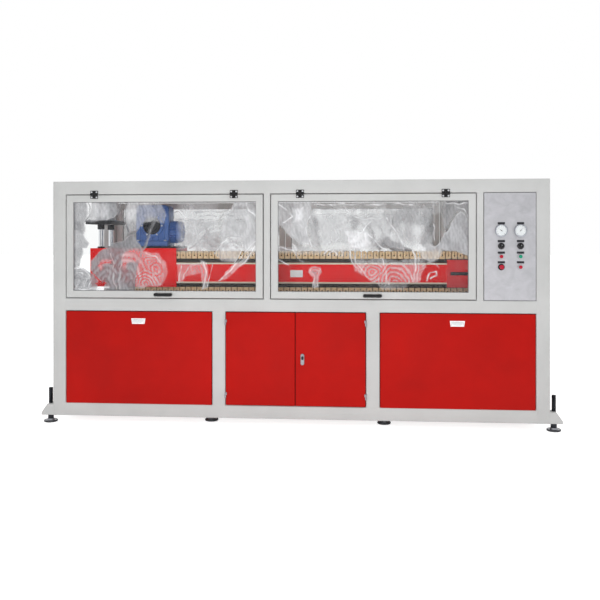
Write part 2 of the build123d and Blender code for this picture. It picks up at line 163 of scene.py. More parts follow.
def sized(profile, radius, depth=0.0):
    """A profile from rows of a share of a radius, a distance and, where there is one, the share of a
    depth that is added to it."""
    share, distance, deep = np.array([(*row, 0)[:3] for row in profile], float).T
    return np.stack([share * radius, distance + deep * depth], 1)


def threaded(centre, axis, radius, length, pitch, depth, segments=20):
    """A screw thread: the radius less depth times a triangle wave of distance / pitch - angle / turn."""
    rows = max(8, int(length / pitch * 4))
    distance = np.linspace(0, length, rows)[:, None]
    angle = np.linspace(0, 2 * np.pi, segments, endpoint=False)[None]
    wave = np.abs(2 * np.mod(distance / pitch - angle / (2 * np.pi), 1) - 1)
    reach = np.minimum(1, np.minimum(distance, length - distance) / pitch)
    return rings(centre, axis, distance, radius - depth * (wave * reach + (1 - reach)), angle)


def prism(outline, axis, near, far):
    """An outline across an axis, given in the axis's two right-handed others, carried straight along it."""
    along, a, b = axes_of(axis)
    outline = np.array(outline, float)
    points = np.zeros((2, len(outline), 3))
    points[0, :, along], points[1, :, along] = near, far
    points[..., a], points[..., b] = outline[:, 0], outline[:, 1]
    return surface(points)


def mitred_frame(low, high, section):
    """A section of (inset, y) points carried round an upright rectangle with mitred corners."""
    inset, depth = np.array(section, float).T
    half, middle = (high - low) / 2, (low + high) / 2
    side_x, side_z = np.array([-1, 1, 1, -1])[:, None], np.array([-1, -1, 1, 1])[:, None]
    points = np.zeros((4, len(inset), 3))
    points[..., 0] = middle[0] + side_x * (half[0] - inset)
    points[..., 1] = depth
    points[..., 2] = middle[2] + side_z * (half[2] - inset)
    return surface(points, along_closed=True, capped=False)


def weld_bead(start, end, radius=0.003, ripple=0.006):
    """A bead along a straight seam: a circle whose radius ripples as 1 + 0.15 sin(2 pi s / ripple)
    and closes to a point at both ends."""
    length = np.linalg.norm(end - start)
    share = np.linspace(0, 1, max(6, int(length / ripple * 4)))
    swell = radius * (1 + 0.15 * np.sin(2 * np.pi * share * length / ripple))
    swell = swell * np.minimum(1, np.minimum(share, 1 - share) * length / radius)
    direction = (end - start) / length
    across = np.cross(direction, [0.3, 0.5, 0.81])
    across = across / np.linalg.norm(across)
    angle = np.linspace(0, 2 * np.pi, 8, endpoint=False)[:, None]
    ring = np.cos(angle) * across + np.sin(angle) * np.cross(direction, across)
    return surface(start + share[:, None, None] * (end - start) + swell[:, None, None] * ring[None])


# Screw heads, as shares of their radius and height
DOME_HEAD = [(1, 0), (1, 0.35), (0.8, 0.85), (0.45, 1), (0.42, 0.45)]
WASHER = [(1.35, 0), (1.35, 0.2)]
HEX_HEAD = [(1, 0.2), (1, 0.9), (0.88, 1)]


def screw_head(profile, place, axis, side, radius, height, segments):
    """A profile of shares of a radius and a height, turned outwards from a place."""
    return turned(np.array(profile) * (radius, height), place, axis, segments, side)


def dome_head(place, axis, side, radius, height):
    """A round screw head: a low dome with a sunk socket in its middle."""
    return screw_head(DOME_HEAD, place, axis, side, radius, height, 12)


def hex_head(place, axis, side, radius, height):
    """A hexagon head on a washer, its top edge bevelled."""
    washer = screw_head(WASHER, place, axis, side, radius, height, 16)
    return joined([washer, screw_head(HEX_HEAD, place, axis, side, radius, height, 6)])


def solids(node):
    """The lowest and highest corners of each solid of a CAD node, found by spreading along edges."""
    mesh = bmesh.new()
    mesh.from_mesh(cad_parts[node].data)
    bmesh.ops.remove_doubles(mesh, verts=mesh.verts, dist=DOUBLES)
    found, left = [], set(mesh.verts)
    while left:
        group, waiting = [], [left.pop()]
        while waiting:
            vertex = waiting.pop()
            group.append(tuple(vertex.co))
            near = {edge.other_vert(vertex) for edge in vertex.link_edges} & left
            left -= near
            waiting += near
        corners = np.array(group)
        found.append((corners.min(0), corners.max(0)))
    mesh.free()
    return sorted(found, key=lambda pair: tuple(np.round(pair[0], 4)))


def piece(name, shapes, finish, body="frame", node=None, slot=None, sharp=35, bevel=0.0):
    """One object from one or more shapes: doubles merged, normals turned outwards, edges over the sharp
    angle kept crisp, riding on its body and standing for a CAD node. Its slot argument is not used."""
    points, faces = joined(shapes) if isinstance(shapes, list) else shapes
    corners = np.concatenate([face.ravel() for face in faces])
    counts = np.concatenate([np.full(len(face), face.shape[1]) for face in faces])
    mesh = bpy.data.meshes.new(name)
    mesh.vertices.add(len(points))
    mesh.vertices.foreach_set("co", points.astype(np.float32).ravel())
    mesh.loops.add(len(corners))
    mesh.loops.foreach_set("vertex_index", corners.astype(np.int32))
    mesh.polygons.add(len(counts))
    mesh.polygons.foreach_set("loop_start", np.concatenate([[0], np.cumsum(counts)[:-1]]).astype(np.int32))
    mesh.update(calc_edges=True)
    made = bmesh.new()
    made.from_mesh(mesh)
    bmesh.ops.remove_doubles(made, verts=made.verts, dist=DOUBLES)
    bmesh.ops.recalc_face_normals(made, faces=made.faces)
    made.to_mesh(mesh)
    made.free()
    mesh.polygons.foreach_set("use_smooth", np.ones(len(mesh.polygons), bool))
    mesh.set_sharp_from_angle(angle=math.radians(sharp))
    mesh.materials.append(finish)
    made_object = bpy.data.objects.new(name, mesh)
    bpy.context.scene.collection.objects.link(made_object)
    if bevel:
        rounding = made_object.modifiers.new("edges", "BEVEL")
        rounding.width = bevel
        rounding.segments = 2
        rounding.limit_method = "ANGLE"
        rounding.harden_normals = False
    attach(made_object, body)
    if node:
        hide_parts(node)
    return made_object


def dressed(name, node, shape_of, finish, body="frame", **more):
    """A piece that stands for a CAD node, with a shape made from the corners of each of its solids."""
    return piece(name, [shape_of(*corners) for corners in solids(node)], finish, body, node, **more)


# Finishes
FILM_SHADE = 0.2
PEEL = 0.004
GRAIN = 0.0027


def linear(hex_colour):
    """An sRGB hex colour as linear light."""
    shares = [int(hex_colour[at:at + 2], 16) / 255 for at in (1, 3, 5)]
    return [c / 12.92 if c <= 0.04045 else ((c + 0.055) / 1.055) ** 2.4 for c in shares] + [1]


def add(tree, kind, settings=None, **sockets):
    """Add a node with its settings, and set or link its sockets, which _0, _1 name by number."""
    made = tree.nodes.new("ShaderNode" + kind)
    for key, value in (settings or {}).items():
        setattr(made, key, value)
    for key, value in sockets.items():
        socket = made.inputs[int(key[1:]) if key[0] == "_" else key.replace("_", " ")]
        if isinstance(value, bpy.types.NodeSocket):
            tree.links.new(value, socket)
        else:
            socket.default_value = value
    return made


def new_finish(name):
    """An empty material with its tree and the object's own coordinates."""
    finish = bpy.data.materials.new(name)
    finish.use_nodes = True
    finish.node_tree.nodes.clear()
    return finish, finish.node_tree, add(finish.node_tree, "TexCoord").outputs["Object"]


def noise(tree, place, scale, detail, rough=0.5, distortion=0.0):
    return add(tree, "TexNoise", Vector=place, Scale=scale, Detail=detail, Roughness=rough,
               Distortion=distortion).outputs[0]


def combined(tree, operation, first, second, clamp=False):
    return add(tree, "Math", {"operation": operation, "use_clamp": clamp}, _0=first, _1=second).outputs[0]


def ranged(tree, pattern, near, far, low=0.3, high=0.7):
    """A number that runs from near to far as a pattern runs from low to high."""
    return add(tree, "MapRange", _0=pattern, _1=low, _2=high, _3=near, _4=far).outputs[0]


def mixed(tree, share, first, second):
    return add(tree, "Mix", {"data_type": "RGBA"}, _0=share, _6=first, _7=second).outputs[2]


def two_tone(tree, pattern, dark, light, low=0.3, high=0.7):
    """A colour that runs from dark to light as a pattern runs from low to high."""
    return mixed(tree, ranged(tree, pattern, 0, 1, low, high), linear(dark), linear(light))


def stretched(tree, place, scale):
    return add(tree, "Mapping", Vector=place, Scale=scale).outputs[0]


def closed(finish, shader):
    add(finish.node_tree, "OutputMaterial", Surface=shader.outputs[0])
    return finish


def coated(finish, colour, roughness, relief, strength, depth, **sockets):
    """The finish closed with one shader: its colour, its roughness and a relief of a depth in metres."""
    bump = add(finish.node_tree, "Bump", Height=relief, Strength=strength, Distance=depth)
    return closed(finish, add(finish.node_tree, "BsdfPrincipled", Base_Color=colour, Roughness=roughness,
                              Normal=bump.outputs[0], **sockets))


def powder_coat(name, dark, light, rough, cloud=0.35, shine=0.3):
    """Sprayed and baked coat on sheet and tube: clouded by a few shades, with a faint orange peel whose
    dimples, about 1.5 mm in truth, are drawn wider so that they show, and grime that gathers low down."""
    finish, tree, place = new_finish(name)
    clouds = noise(tree, place, 1 / cloud, 5, 0.6)
    low_down = ranged(tree, add(tree, "SeparateXYZ", Vector=place).outputs[2], 0.55, 0.0, 0.05, 0.5)
    specks = ranged(tree, noise(tree, place, 90, 3, 0.7), 0, 0.05, 0.5, 0.8)
    soiled = mixed(tree, combined(tree, "MULTIPLY", low_down, specks), two_tone(tree, clouds, dark, light),
                   linear("#6B655C"))
    return coated(finish, soiled, ranged(tree, clouds, rough - 0.04, rough + 0.06),
                  noise(tree, place, 1 / PEEL, 2), 0.35, 0.00012, IOR=1.5, Specular_IOR_Level=shine)


def moulded(name, dark, light, rough):
    """Moulded polymer or rubber with a fine spark-eroded grain."""
    finish, tree, place = new_finish(name)
    grain = noise(tree, place, 1 / GRAIN, 3)
    return coated(finish, two_tone(tree, noise(tree, place, 25, 4), dark, light),
                  ranged(tree, grain, rough - 0.05, rough + 0.08), grain, 0.3, 0.0001,
                  IOR=1.5, Specular_IOR_Level=0.3)


def bare_metal(name, dark, light, rough, lay=(60, 60, 60)):
    """Metal with the fine lines or mottling of how it was worked, which the lay stretches."""
    finish, tree, place = new_finish(name)
    lines = noise(tree, stretched(tree, place, lay), 8, 6, 0.65)
    return coated(finish, two_tone(tree, lines, dark, light), ranged(tree, lines, rough - 0.06, rough + 0.1),
                  lines, 0.4, 0.00005, Metallic=1)


def brushed_plate(name, dark, light, rough):
    """Brushed sheet: fine level lines, clouded by the smears that a peeled film leaves on it."""
    finish, tree, place = new_finish(name)
    lines = noise(tree, stretched(tree, place, (3, 60, 160)), 8, 6, 0.65)
    smears = noise(tree, place, 16, 4, 0.6, 0.8)
    pattern = add(tree, "Mix", {"data_type": "FLOAT"}, _0=0.65, _2=lines, _3=smears).outputs[0]
    return coated(finish, two_tone(tree, pattern, dark, light, 0.35, 0.65),
                  ranged(tree, smears, rough - 0.06, rough + 0.1), lines, 0.4, 0.00005, Metallic=1)


def cast_enamel(name, dark, light, rough):
    """Enamel over a sand casting: the grainy skin of the iron shows through as 2 mm bumps."""
    finish, tree, place = new_finish(name)
    skin = noise(tree, place, 300, 4, 0.6)
    return coated(finish, two_tone(tree, noise(tree, place, 14, 4), dark, light),
                  ranged(tree, skin, rough, rough + 0.12), skin, 0.5, 0.0006,
                  IOR=1.5, Coat_Weight=0.25, Coat_Roughness=0.2)


def oiled_steel(name):
    """Blackened chain steel under a film of oil: dark, blotched and glossy, brown where dust sticks."""
    finish, tree, place = new_finish(name)
    blotches = noise(tree, place, 55, 5, 0.7)
    return coated(finish, two_tone(tree, blotches, "#161514", "#45423E"), ranged(tree, blotches, 0.5, 0.28),
                  blotches, 0.4, 0.0003, Metallic=0.6)


def pad_rubber(name):
    """Cast polyurethane: warm tan, slightly clear at the edges, scuffed paler on its grip faces."""
    finish, tree, place = new_finish(name)
    scuffs = noise(tree, stretched(tree, place, (30, 4, 30)), 6, 5)
    return coated(finish, two_tone(tree, scuffs, "#E3BC88", "#F1D9B3"), ranged(tree, scuffs, 0.42, 0.6),
                  noise(tree, place, 500, 2), 0.3, 0.0002, IOR=1.5, Subsurface_Weight=0.1,
                  Subsurface_Radius=(0.006, 0.004, 0.002), Subsurface_Scale=1.0)


def clear_sheet(name):
    """Extruded polycarbonate: what lies behind shows through, under a faint mirror image that grows as
    the sheet is seen edge on, and a breath of dust."""
    finish, tree, place = new_finish(name)
    glance = combined(tree, "MULTIPLY", add(tree, "Fresnel", IOR=1.58).outputs[0], 0.2)
    dusty = add(tree, "BsdfDiffuse", Color=linear("#AEB2B6"))
    mirror = add(tree, "BsdfGlossy", Color=(1, 1, 1, 1), Roughness=0.03)
    through = add(tree, "BsdfTransparent", Color=(0.985, 0.99, 0.99, 1))
    under = add(tree, "MixShader", _0=ranged(tree, noise(tree, place, 5, 5, 0.7), 0.002, 0.014, 0.45, 0.75),
                _1=through.outputs[0], _2=dusty.outputs[0])
    return closed(finish, add(tree, "MixShader", _0=glance, _1=under.outputs[0], _2=mirror.outputs[0]))


def loose_film(name):
    """Milky protective film: its own attributes say how much it hides and how light it is, fine creases
    catch the light, and most of the light that falls on it goes through."""
    finish, tree, place = new_finish(name)
    haze, lightness = (add(tree, "Attribute", {"attribute_name": key}).outputs["Fac"]
                       for key in ("haze", "lightness"))
    creases = noise(tree, place, 35, 4, 0.6, 1.5)
    path = add(tree, "LightPath").outputs
    spread = combined(tree, "MAXIMUM", path["Is Shadow Ray"], path["Is Diffuse Ray"])
    milky = combined(tree, "MULTIPLY", haze, ranged(tree, spread, 1, FILM_SHADE, 0, 1))
    hidden = combined(tree, "MULTIPLY", milky, ranged(tree, creases, 0.85, 1.15), True)
    # The film's colour runs from dark grey to white with its lightness: its milky tone together with painted
    # shade and painted highlights
    return coated(finish, two_tone(tree, lightness, "#55565C", "#F6F7FA", 0, 1), 0.32, creases, 0.5, 0.002,
                  IOR=1.5, Alpha=hidden)


GREY_COAT = powder_coat("light_grey_powder_coat", "#C5C6C5", "#CFD0CF", 0.45)
RED_COAT = powder_coat("red_powder_coat", "#AC0D06", "#BD110A", 0.42, shine=0.16)
# The track's red is the panels' red paint drawn lighter: painted light that makes up for the shade inside
# the guard
TRACK_RED_PAINTED_LIGHTER = powder_coat("track_red_enamel_painted_lighter", "#F00B11", "#FA1319", 0.32, cloud=0.15, shine=0.12)
BLUE_ENAMEL = cast_enamel("blue_casting_enamel", "#34589C", "#4570B4", 0.35)
BLACK_MOULDED = moulded("black_glass_filled_nylon", "#0A0A0D", "#141418", 0.25)
FOOT_NYLON = moulded("dark_grey_foot_nylon", "#36373B", "#46474C", 0.3)
DARK_RUBBER = moulded("black_extruded_rubber", "#26272A", "#34353A", 0.6)
GREY_RUBBER = moulded("grey_glazing_rubber", "#6E7073", "#85878A", 0.6)
BLACK_STEEL = bare_metal("black_oxide_steel", "#25262A", "#3A3B40", 0.42)
ZINC = bare_metal("bright_zinc_plate", "#B4B6B9", "#D3D5D8", 0.3)
CHROME = bare_metal("hard_chromed_rod", "#C9CBCF", "#E6E8EB", 0.12, lay=(300, 300, 4))
ALUMINIUM = bare_metal("anodised_aluminium_tube", "#B9BCC0", "#CFD1D4", 0.35, lay=(80, 80, 6))
STAINLESS = brushed_plate("brushed_stainless_sheet", "#B0B0B4", "#CBCBCF", 0.62)
BEZEL_STEEL = bare_metal("spun_nickelled_bezel", "#A0A3AA", "#BEC1C7", 0.2)
LOCK_STEEL = bare_metal("satin_chromed_zinc_casting", "#85868B", "#A6A7AC", 0.3)
PULL_STEEL = bare_metal("polished_stainless_pull", "#DADCDF", "#F1F3F5", 0.25)
CHAIN_STEEL = oiled_steel("oiled_chain_steel")
PAD_TAN = pad_rubber("cast_tan_polyurethane")
GUIDE_CREAM = moulded("machined_cream_polyethylene", "#DDD6BE", "#EFE9D6", 0.45)
DIAL_WHITE = moulded("printed_white_dial", "#EEF0F2", "#F7F8F9", 0.35)
MARK_BLACK = moulded("printed_black_marks", "#1B1B1E", "#29292D", 0.5)
LABEL_BLACK = moulded("engraved_black_laminate", "#202024", "#2F2F35", 0.45)
LENS_RED = moulded("red_lens_polycarbonate", "#A80F2A", "#C91F38", 0.2)
LENS_GREEN = moulded("green_lens_polycarbonate", "#128666", "#28A582", 0.2)
PLATE_WHITE = moulded("blank_white_plate", "#F0F1F3", "#FAFAFB", 0.4)
CLEAR_SHEET = clear_sheet("clear_polycarbonate_sheet")
FILM = loose_film("milky_protective_film")

# Tube frame
TUBE_CORNER = 0.005
CAP_EDGE = 0.002
BUTT_REACH = 0.0046
FLUSH = 1e-4
LOWER_POST_TOP = box("lower_panels")[1][2] + 0.004


def longest(low, high):
    return "xyz"[int(np.argmax(high - low))]


def tube(low, high):
    """A tube with free ends."""
    return bar(low, high, longest(low, high), TUBE_CORNER, CAP_EDGE)


def welded_tube(low, high):
    """A tube whose ends run on into the rounded corners they meet, where the weld is ground flush."""
    reach = np.zeros(3)
    reach["xyz".index(longest(low, high))] = BUTT_REACH
    return bar(low - reach, high + reach, longest(low, high), TUBE_CORNER)


def end_seams(low, high):
    """Beads round a tube's two ends, ground away where a face lies flush with the frame's outside."""
    along, a, b = axes_of(longest(low, high))
    beads = []
    for end in (low[along], high[along]):
        for across, other in ((a, b), (b, a)):
            for face in (low[across], high[across]):
                if np.abs(face - FRAME_BOX[:, across]).min() < FLUSH:
                    continue
                start, stop = np.zeros(3), np.zeros(3)
                start[along] = stop[along] = end
                start[across] = stop[across] = face
                start[other], stop[other] = low[other] + TUBE_CORNER, high[other] - TUBE_CORNER
                beads.append(weld_bead(start, stop))
    return beads


def inner_post_boxes():
    """Mullions and lower posts, the front ones mirrored from the back, because theirs carry barrels."""
    boxes = []
    for low, high in solids("inner_posts"):
        if low[2] > LOWER_POST_TOP or low[1] > 0:
            boxes.append((low, high))
        if low[2] <= LOWER_POST_TOP and low[1] > 0:
            boxes.append((np.array([low[0], -high[1], low[2]]), np.array([high[0], -low[1], high[2]])))
    return boxes


def make_tube_frame():
    """Posts, rails and mullions of square tube, and the weld seams between them."""
    dressed("frame_posts", "corner_posts", tube, GREY_COAT)
    welded = []
    for node in ("long_rails", "cross_rails"):
        dressed("frame_" + node, node, welded_tube, GREY_COAT)
        welded += solids(node)
    inner = inner_post_boxes()
    piece("frame_inner_posts", [welded_tube(*ends) for ends in inner], GREY_COAT, node="inner_posts")
    piece("frame_weld_seams", [bead for ends in welded + inner for bead in end_seams(*ends)], GREY_COAT)


# Gussets and feet
GUSSET_TOP_SHARE = 0.5
GUSSET_LIP = 0.014
GUSSET_BEVEL = 0.004
STUD_RADIUS = 0.013
STUD_PITCH = 0.003
THREAD_DEPTH = 0.0014
NUT_RADIUS = 0.019
NUT_GAP = 0.004
PAD_TOP = 0.02
# Shares of the radius, heights and shares of the height
FOOT_PAD = [(0.92, 0), (1, 0.003), (1, 0.008), (0.95, 0.0115), (0.87, 0.012), (0.85, 0.0095)]
FOOT_DISH = [(0.86, 0.008), (0.86, 0.0108), (0.72, 0.0098), (0.58, 0.0112), (0.5, PAD_TOP)]
FOOT_NUT = [(0.85, 0), (1, 0.002), (1, -0.002, 1), (0.85, 0, 1)]


def gusset(low, high):
    """A trapezoid block outside a corner post, its outline carried along Y."""
    inner, outer = (low[0], high[0]) if low[0] + high[0] > 0 else (high[0], low[0])
    top = inner + (outer - inner) * GUSSET_TOP_SHARE
    inner -= math.copysign(2 * BUTT_REACH, outer)
    lip = low[2] + GUSSET_LIP
    outline = [(high[2], inner), (high[2], top), (lip, outer), (low[2], outer), (low[2], inner)]
    return prism(outline, "y", low[1], high[1])


def make_feet():
    """Nylon pads with pressed steel dishes on them, jack nuts and threaded studs."""
    pads, dishes, nuts, studs = [], [], [], []
    for low, high in solids("levelling_feet"):
        x, y, _ = (low + high) / 2
        rim = (high[0] - low[0]) / 2
        pads.append(turned(sized(FOOT_PAD, rim), (x, y, 0), "z", 48))
        dishes.append(turned(sized(FOOT_DISH, rim), (x, y, 0), "z", 48))
        tall = min(high[2], FRAME_BOX[0][2]) - NUT_GAP - PAD_TOP
        nuts.append(turned(sized(FOOT_NUT, NUT_RADIUS, tall), (x, y, PAD_TOP), "z", 6))
        studs.append(threaded((x, y, PAD_TOP), "z", STUD_RADIUS, high[2] - PAD_TOP, STUD_PITCH,
                              THREAD_DEPTH))
    node = "levelling_feet"
    piece("foot_pads", pads, FOOT_NYLON, node=node)
    piece("foot_dishes", dishes, LOCK_STEEL, node=node)
    piece("foot_nuts", nuts, BLACK_STEEL, node=node, sharp=25)
    piece("foot_studs", studs, BLACK_STEEL, node=node, sharp=60)


# Red sheet panels and their cup pulls
FOLD_RADIUS = 0.0025
TOP_SHEET_EDGE = 0.001
PANEL_CORNER = 0.004
PULL_FLANGE = 0.002
PULL_RIM = 0.005
PULL_TAPER = 0.005
PULL_INSET = 0.003
PULL_LIP = 0.003
PULL_ROOT = 0.0016
PULL_SHELL_SHARE = 0.86
SEAL_WIDTH = 0.012
SEAL_DEPTH = 0.003
SEAL_OUTSIDE = 0.0042
SEAL_CLEARANCE = 0.0052
BEHIND = np.array([0, SEAL_CLEARANCE, 0])
CHANGED_OVER = [1, 0, 2]


def sheet_panel(low, high, edge=FOLD_RADIUS):
    thin = "xyz"[int(np.argmin(high - low))]
    return bar(low, high, thin, PANEL_CORNER, edge)


def top_sheet(low, high):
    return sheet_panel(low, high, TOP_SHEET_EDGE)


def cup_pull(low, high):
    """A flange and a hood over it: the hood stands out by sqrt(1 - u^4) across times sqrt(1 - v^2)
    upwards, and is open along its lower lip."""
    side = 1 if low[1] > 0 else -1
    face = low[1] if side > 0 else high[1]
    low, high = low + [PULL_INSET, 0, PULL_INSET], high - [PULL_INSET, 0, PULL_INSET / 2]
    middle, half, depth = (low[0] + high[0]) / 2, (high[0] - low[0]) / 2, high[1] - low[1] - PULL_FLANGE
    outline = [(low[2], middle - half + PULL_TAPER), (low[2], middle + half - PULL_TAPER),
               (high[2], middle + half), (high[2], middle - half)]
    flange = prism(outline, "y", face, face + side * PULL_FLANGE)
    across = np.linspace(-1, 1, 33)[:, None]
    rise = np.linspace(0, 1, 13)
    loop_v = np.concatenate([rise, rise[::-1]])[None]
    shell = np.repeat([1, PULL_SHELL_SHARE], 13)[None]
    bulge = np.sqrt(1 - across ** 4) * np.sqrt(np.maximum(0, 1 - (loop_v * shell) ** 2))
    points = np.zeros((33, 26, 3))
    points[..., 0] = middle + across * (half - PULL_RIM - PULL_TAPER * (1 - loop_v)) * (0.5 + 0.5 * shell)
    points[..., 1] = face + side * (PULL_ROOT + depth * shell * bulge)
    points[..., 2] = low[2] + PULL_LIP + loop_v * shell * (high[2] - low[2] - PULL_LIP - PULL_RIM)
    return joined([flange, surface(points)])


def gap_seal(low, high, side):
    """A rubber strip behind the edge of an upright panel, which closes the gap round it to the light."""
    face = low[1] if side > 0 else high[1]
    loop_a, loop_b = rounded_loop(SEAL_WIDTH / 2, SEAL_DEPTH / 2, CRISP, 1)
    section = np.stack([loop_a + SEAL_WIDTH / 2 - SEAL_OUTSIDE, face - side * (SEAL_DEPTH / 2 + loop_b)], 1)
    return mitred_frame(low, high, section)


def panel_seal(low, high):
    """The seal of a panel that faces along Y or, with X and Y changed over, along X."""
    if high[0] - low[0] > high[1] - low[1]:
        return gap_seal(low, high, math.copysign(1, low[1]))
    points, faces = gap_seal(low[CHANGED_OVER], high[CHANGED_OVER], math.copysign(1, low[0]))
    return points[:, CHANGED_OVER], faces


def make_panels():
    """Folded sheet panels, the grey cover behind the control station, and the thin top sheets."""
    dressed("lower_red_panels", "lower_panels", sheet_panel, RED_COAT)
    dressed("back_grey_cover", "back_cover", sheet_panel, GREY_COAT)
    dressed("top_sheets", "top_cover", top_sheet, GREY_COAT)
    upright = solids("lower_panels") + solids("back_cover")
    piece("gap_seals", [panel_seal(*ends) for ends in upright], DARK_RUBBER)
    dressed("cup_pulls", "panel_pulls", cup_pull, PULL_STEEL)


# Cabinet doors, their lift-off hinges and the lock
DOOR_THICKNESS = 0.02
DOOR_GAP = 0.002
BARREL_RADIUS = 0.005
BARREL_LENGTH = 0.018
BARREL_Y = FRONT - 0.0105
BARREL_GAP = 0.0005
BARREL_FROM_END = 0.06
HINGE_BARREL = [(BARREL_RADIUS, 0), (BARREL_RADIUS, BARREL_LENGTH - 0.0025),
                (BARREL_RADIUS - 0.0015, BARREL_LENGTH - 0.0005), (0, BARREL_LENGTH)]
WEB_REACH = 0.0085
WEB_FRONT = BARREL_Y + 0.001
WEB_BACK = FRONT - 0.0045
WEB_LENGTH = BARREL_LENGTH * 0.9
LOCK_CORNER = 0.0112
LOCK_EDGE = 0.003
LOCK_INSET = (np.array([0.001, 0.0015, 0.003]), np.array([0.001, 0, 0.002]))
LOCK_BUTTON = (np.array([-0.0075, 0, -0.002]), np.array([0.0075, 0.0035, 0.02]))
LOCK_BUTTON_CORNER = 0.007
KEY_SINK = 0.0005
KEY_DROP = 0.02
KEY_BARREL = [(0.006, 0), (0.006, 0.001), (0.005, 0.0014)]


def hinge_barrel(x, z, side):
    """A turned barrel with a crowned end, above or below the joint."""
    return turned(HINGE_BARREL, (x, BARREL_Y, z + side * BARREL_GAP), "z", 20, side)


def make_cabinet():
    """Two red leaves, steel barrels on both halves, the seal behind the gaps and the satin lock."""
    post_barrels, leaves = [], []
    for name, side in (("left_cabinet_door", -1), ("right_cabinet_door", 1)):
        low, high = box(name)
        hinge_x = (high[0] if side > 0 else low[0]) - side * BARREL_RADIUS
        edges = sorted((side * DOOR_GAP, hinge_x - side * DOOR_GAP))
        leaf = np.array([(edges[0], high[1] - DOOR_THICKNESS, low[2]), (edges[1], high[1], high[2])])
        leaves.append(leaf)
        piece(name[:-5] + "_leaf", sheet_panel(*leaf), RED_COAT, name, name)
        barrels, webs = [], []
        for z in (low[2] + BARREL_FROM_END, high[2] - BARREL_FROM_END):
            barrels.append(hinge_barrel(hinge_x, z, 1))
            post_barrels.append(hinge_barrel(hinge_x, z, -1))
            x = sorted((hinge_x, hinge_x - side * WEB_REACH))
            webs.append(bar((x[0], WEB_FRONT, z + BARREL_GAP), (x[1], WEB_BACK, z + WEB_LENGTH), "z", CRISP))
        piece(name[:-5] + "_barrels", barrels + webs, LOCK_STEEL, name, name)
    piece("post_barrels", post_barrels, LOCK_STEEL)
    make_cabinet_seal(*leaves)
    make_lock()


def make_cabinet_seal(left, right):
    """A rubber ring behind the two leaves' outer edges and a strip behind the gap between them."""
    ring = gap_seal(left[0] + BEHIND, right[1] + BEHIND, -1)
    face = right[1][1] + SEAL_CLEARANCE
    strip = bar((-SEAL_WIDTH, face, left[0][2] - SEAL_OUTSIDE),
                (SEAL_WIDTH, face + SEAL_DEPTH, left[1][2] + SEAL_OUTSIDE), "z", CRISP)
    piece("cabinet_seal", [ring, strip], DARK_RUBBER)


def make_lock():
    """A satin escutcheon with a dark push button above its key barrel."""
    low, high = box("cabinet_lock")
    x, _, z = (low + high) / 2
    plate_low, middle = low + LOCK_INSET[0], np.array([x, low[1], z])
    plate = bar(plate_low, high - LOCK_INSET[1], "y", LOCK_CORNER, LOCK_EDGE)
    barrel = turned(KEY_BARREL, (x, plate_low[1] + KEY_SINK, z - KEY_DROP), "y", 20, -1)
    button = bar(middle + LOCK_BUTTON[0], middle + LOCK_BUTTON[1], "y", LOCK_BUTTON_CORNER, CRISP)
    door, node = "right_cabinet_door", "cabinet_lock"
    piece("lock_escutcheon", [plate, barrel], LOCK_STEEL, door, node, "chromed_rod")
    piece("lock_button", button, BLACK_MOULDED, door, node)


# Guard doors at the front, lift-off guards at the back
GUARD_MEMBER = 0.042
GUARD_DEPTH = 0.04
GUARD_CORNER = 0.003
GASKET_COVER = 0.0015
GASKET_HEIGHT = 0.004
GASKET_LAP = 0.001
GASKET_CORNER = 0.0015
HINGE_CORNER = 0.003
HINGE_PLATE = 0.004
PIN_Z = box("left_guard_frame")[1][2] + 0.0025
KNUCKLE_RADIUS = 0.006
KNUCKLE_Y = FRONT - 0.007
KNUCKLE_HALF = 0.008
KNUCKLE_GAP = 0.0005
KNUCKLE_CLEARANCE = 0.001
KNUCKLE = [(0.9, 0), (1, 0.0006), (1, -0.0006, 1), (0.9, 0, 1)]
LEAF_WEB_OVERLAP = 0.001
LEAF_WEB_BACK = FRONT - 0.0005
SCREW_SPREAD = 0.0155
SCREW_RADIUS = 0.0056
SCREW_HEIGHT = 0.002
GRIP_RADIUS = 0.0055
GRIP_DEPTH = 0.012
GRIP_ROUNDING = 0.96
NECK_INSET = 0.003
NECK_WIDTH = 0.017
NECK_START = 0.01
NECK_CORNER = 0.006
SEAT_SINK = 0.004
MIDDLE_RAIL_TOP = box("control_plate")[0][2]


def outer_side(low):
    """-1 for a piece at the front and 1 for one at the back, with the frame's face on that side."""
    return (-1, FRONT) if low[1] < 0 else (1, BACK)


def guard_tubes(low, high):
    """The tube frame round a pane: a rounded square section carried round with mitred corners."""
    side, face = outer_side(low)
    loop_a, loop_b = rounded_loop(GUARD_MEMBER / 2, GUARD_DEPTH / 2, GUARD_CORNER)
    section = np.stack([loop_a + GUARD_MEMBER / 2, face - side * (GUARD_DEPTH / 2 + loop_b)], 1)
    return mitred_frame(low - GUARD_MEMBER, high + GUARD_MEMBER, section)


def gasket(low, high):
    """A rubber bead that laps over the edge of a pane on its outer face."""
    side, _ = outer_side(low)
    face = low[1] if side < 0 else high[1]
    loop_a, loop_b = rounded_loop(GASKET_COVER / 2 + GASKET_LAP, GASKET_HEIGHT / 2, GASKET_CORNER)
    section = np.stack([loop_a + GASKET_COVER / 2, face + side * (GASKET_HEIGHT / 2 + loop_b)], 1)
    return mitred_frame(low, high, section)


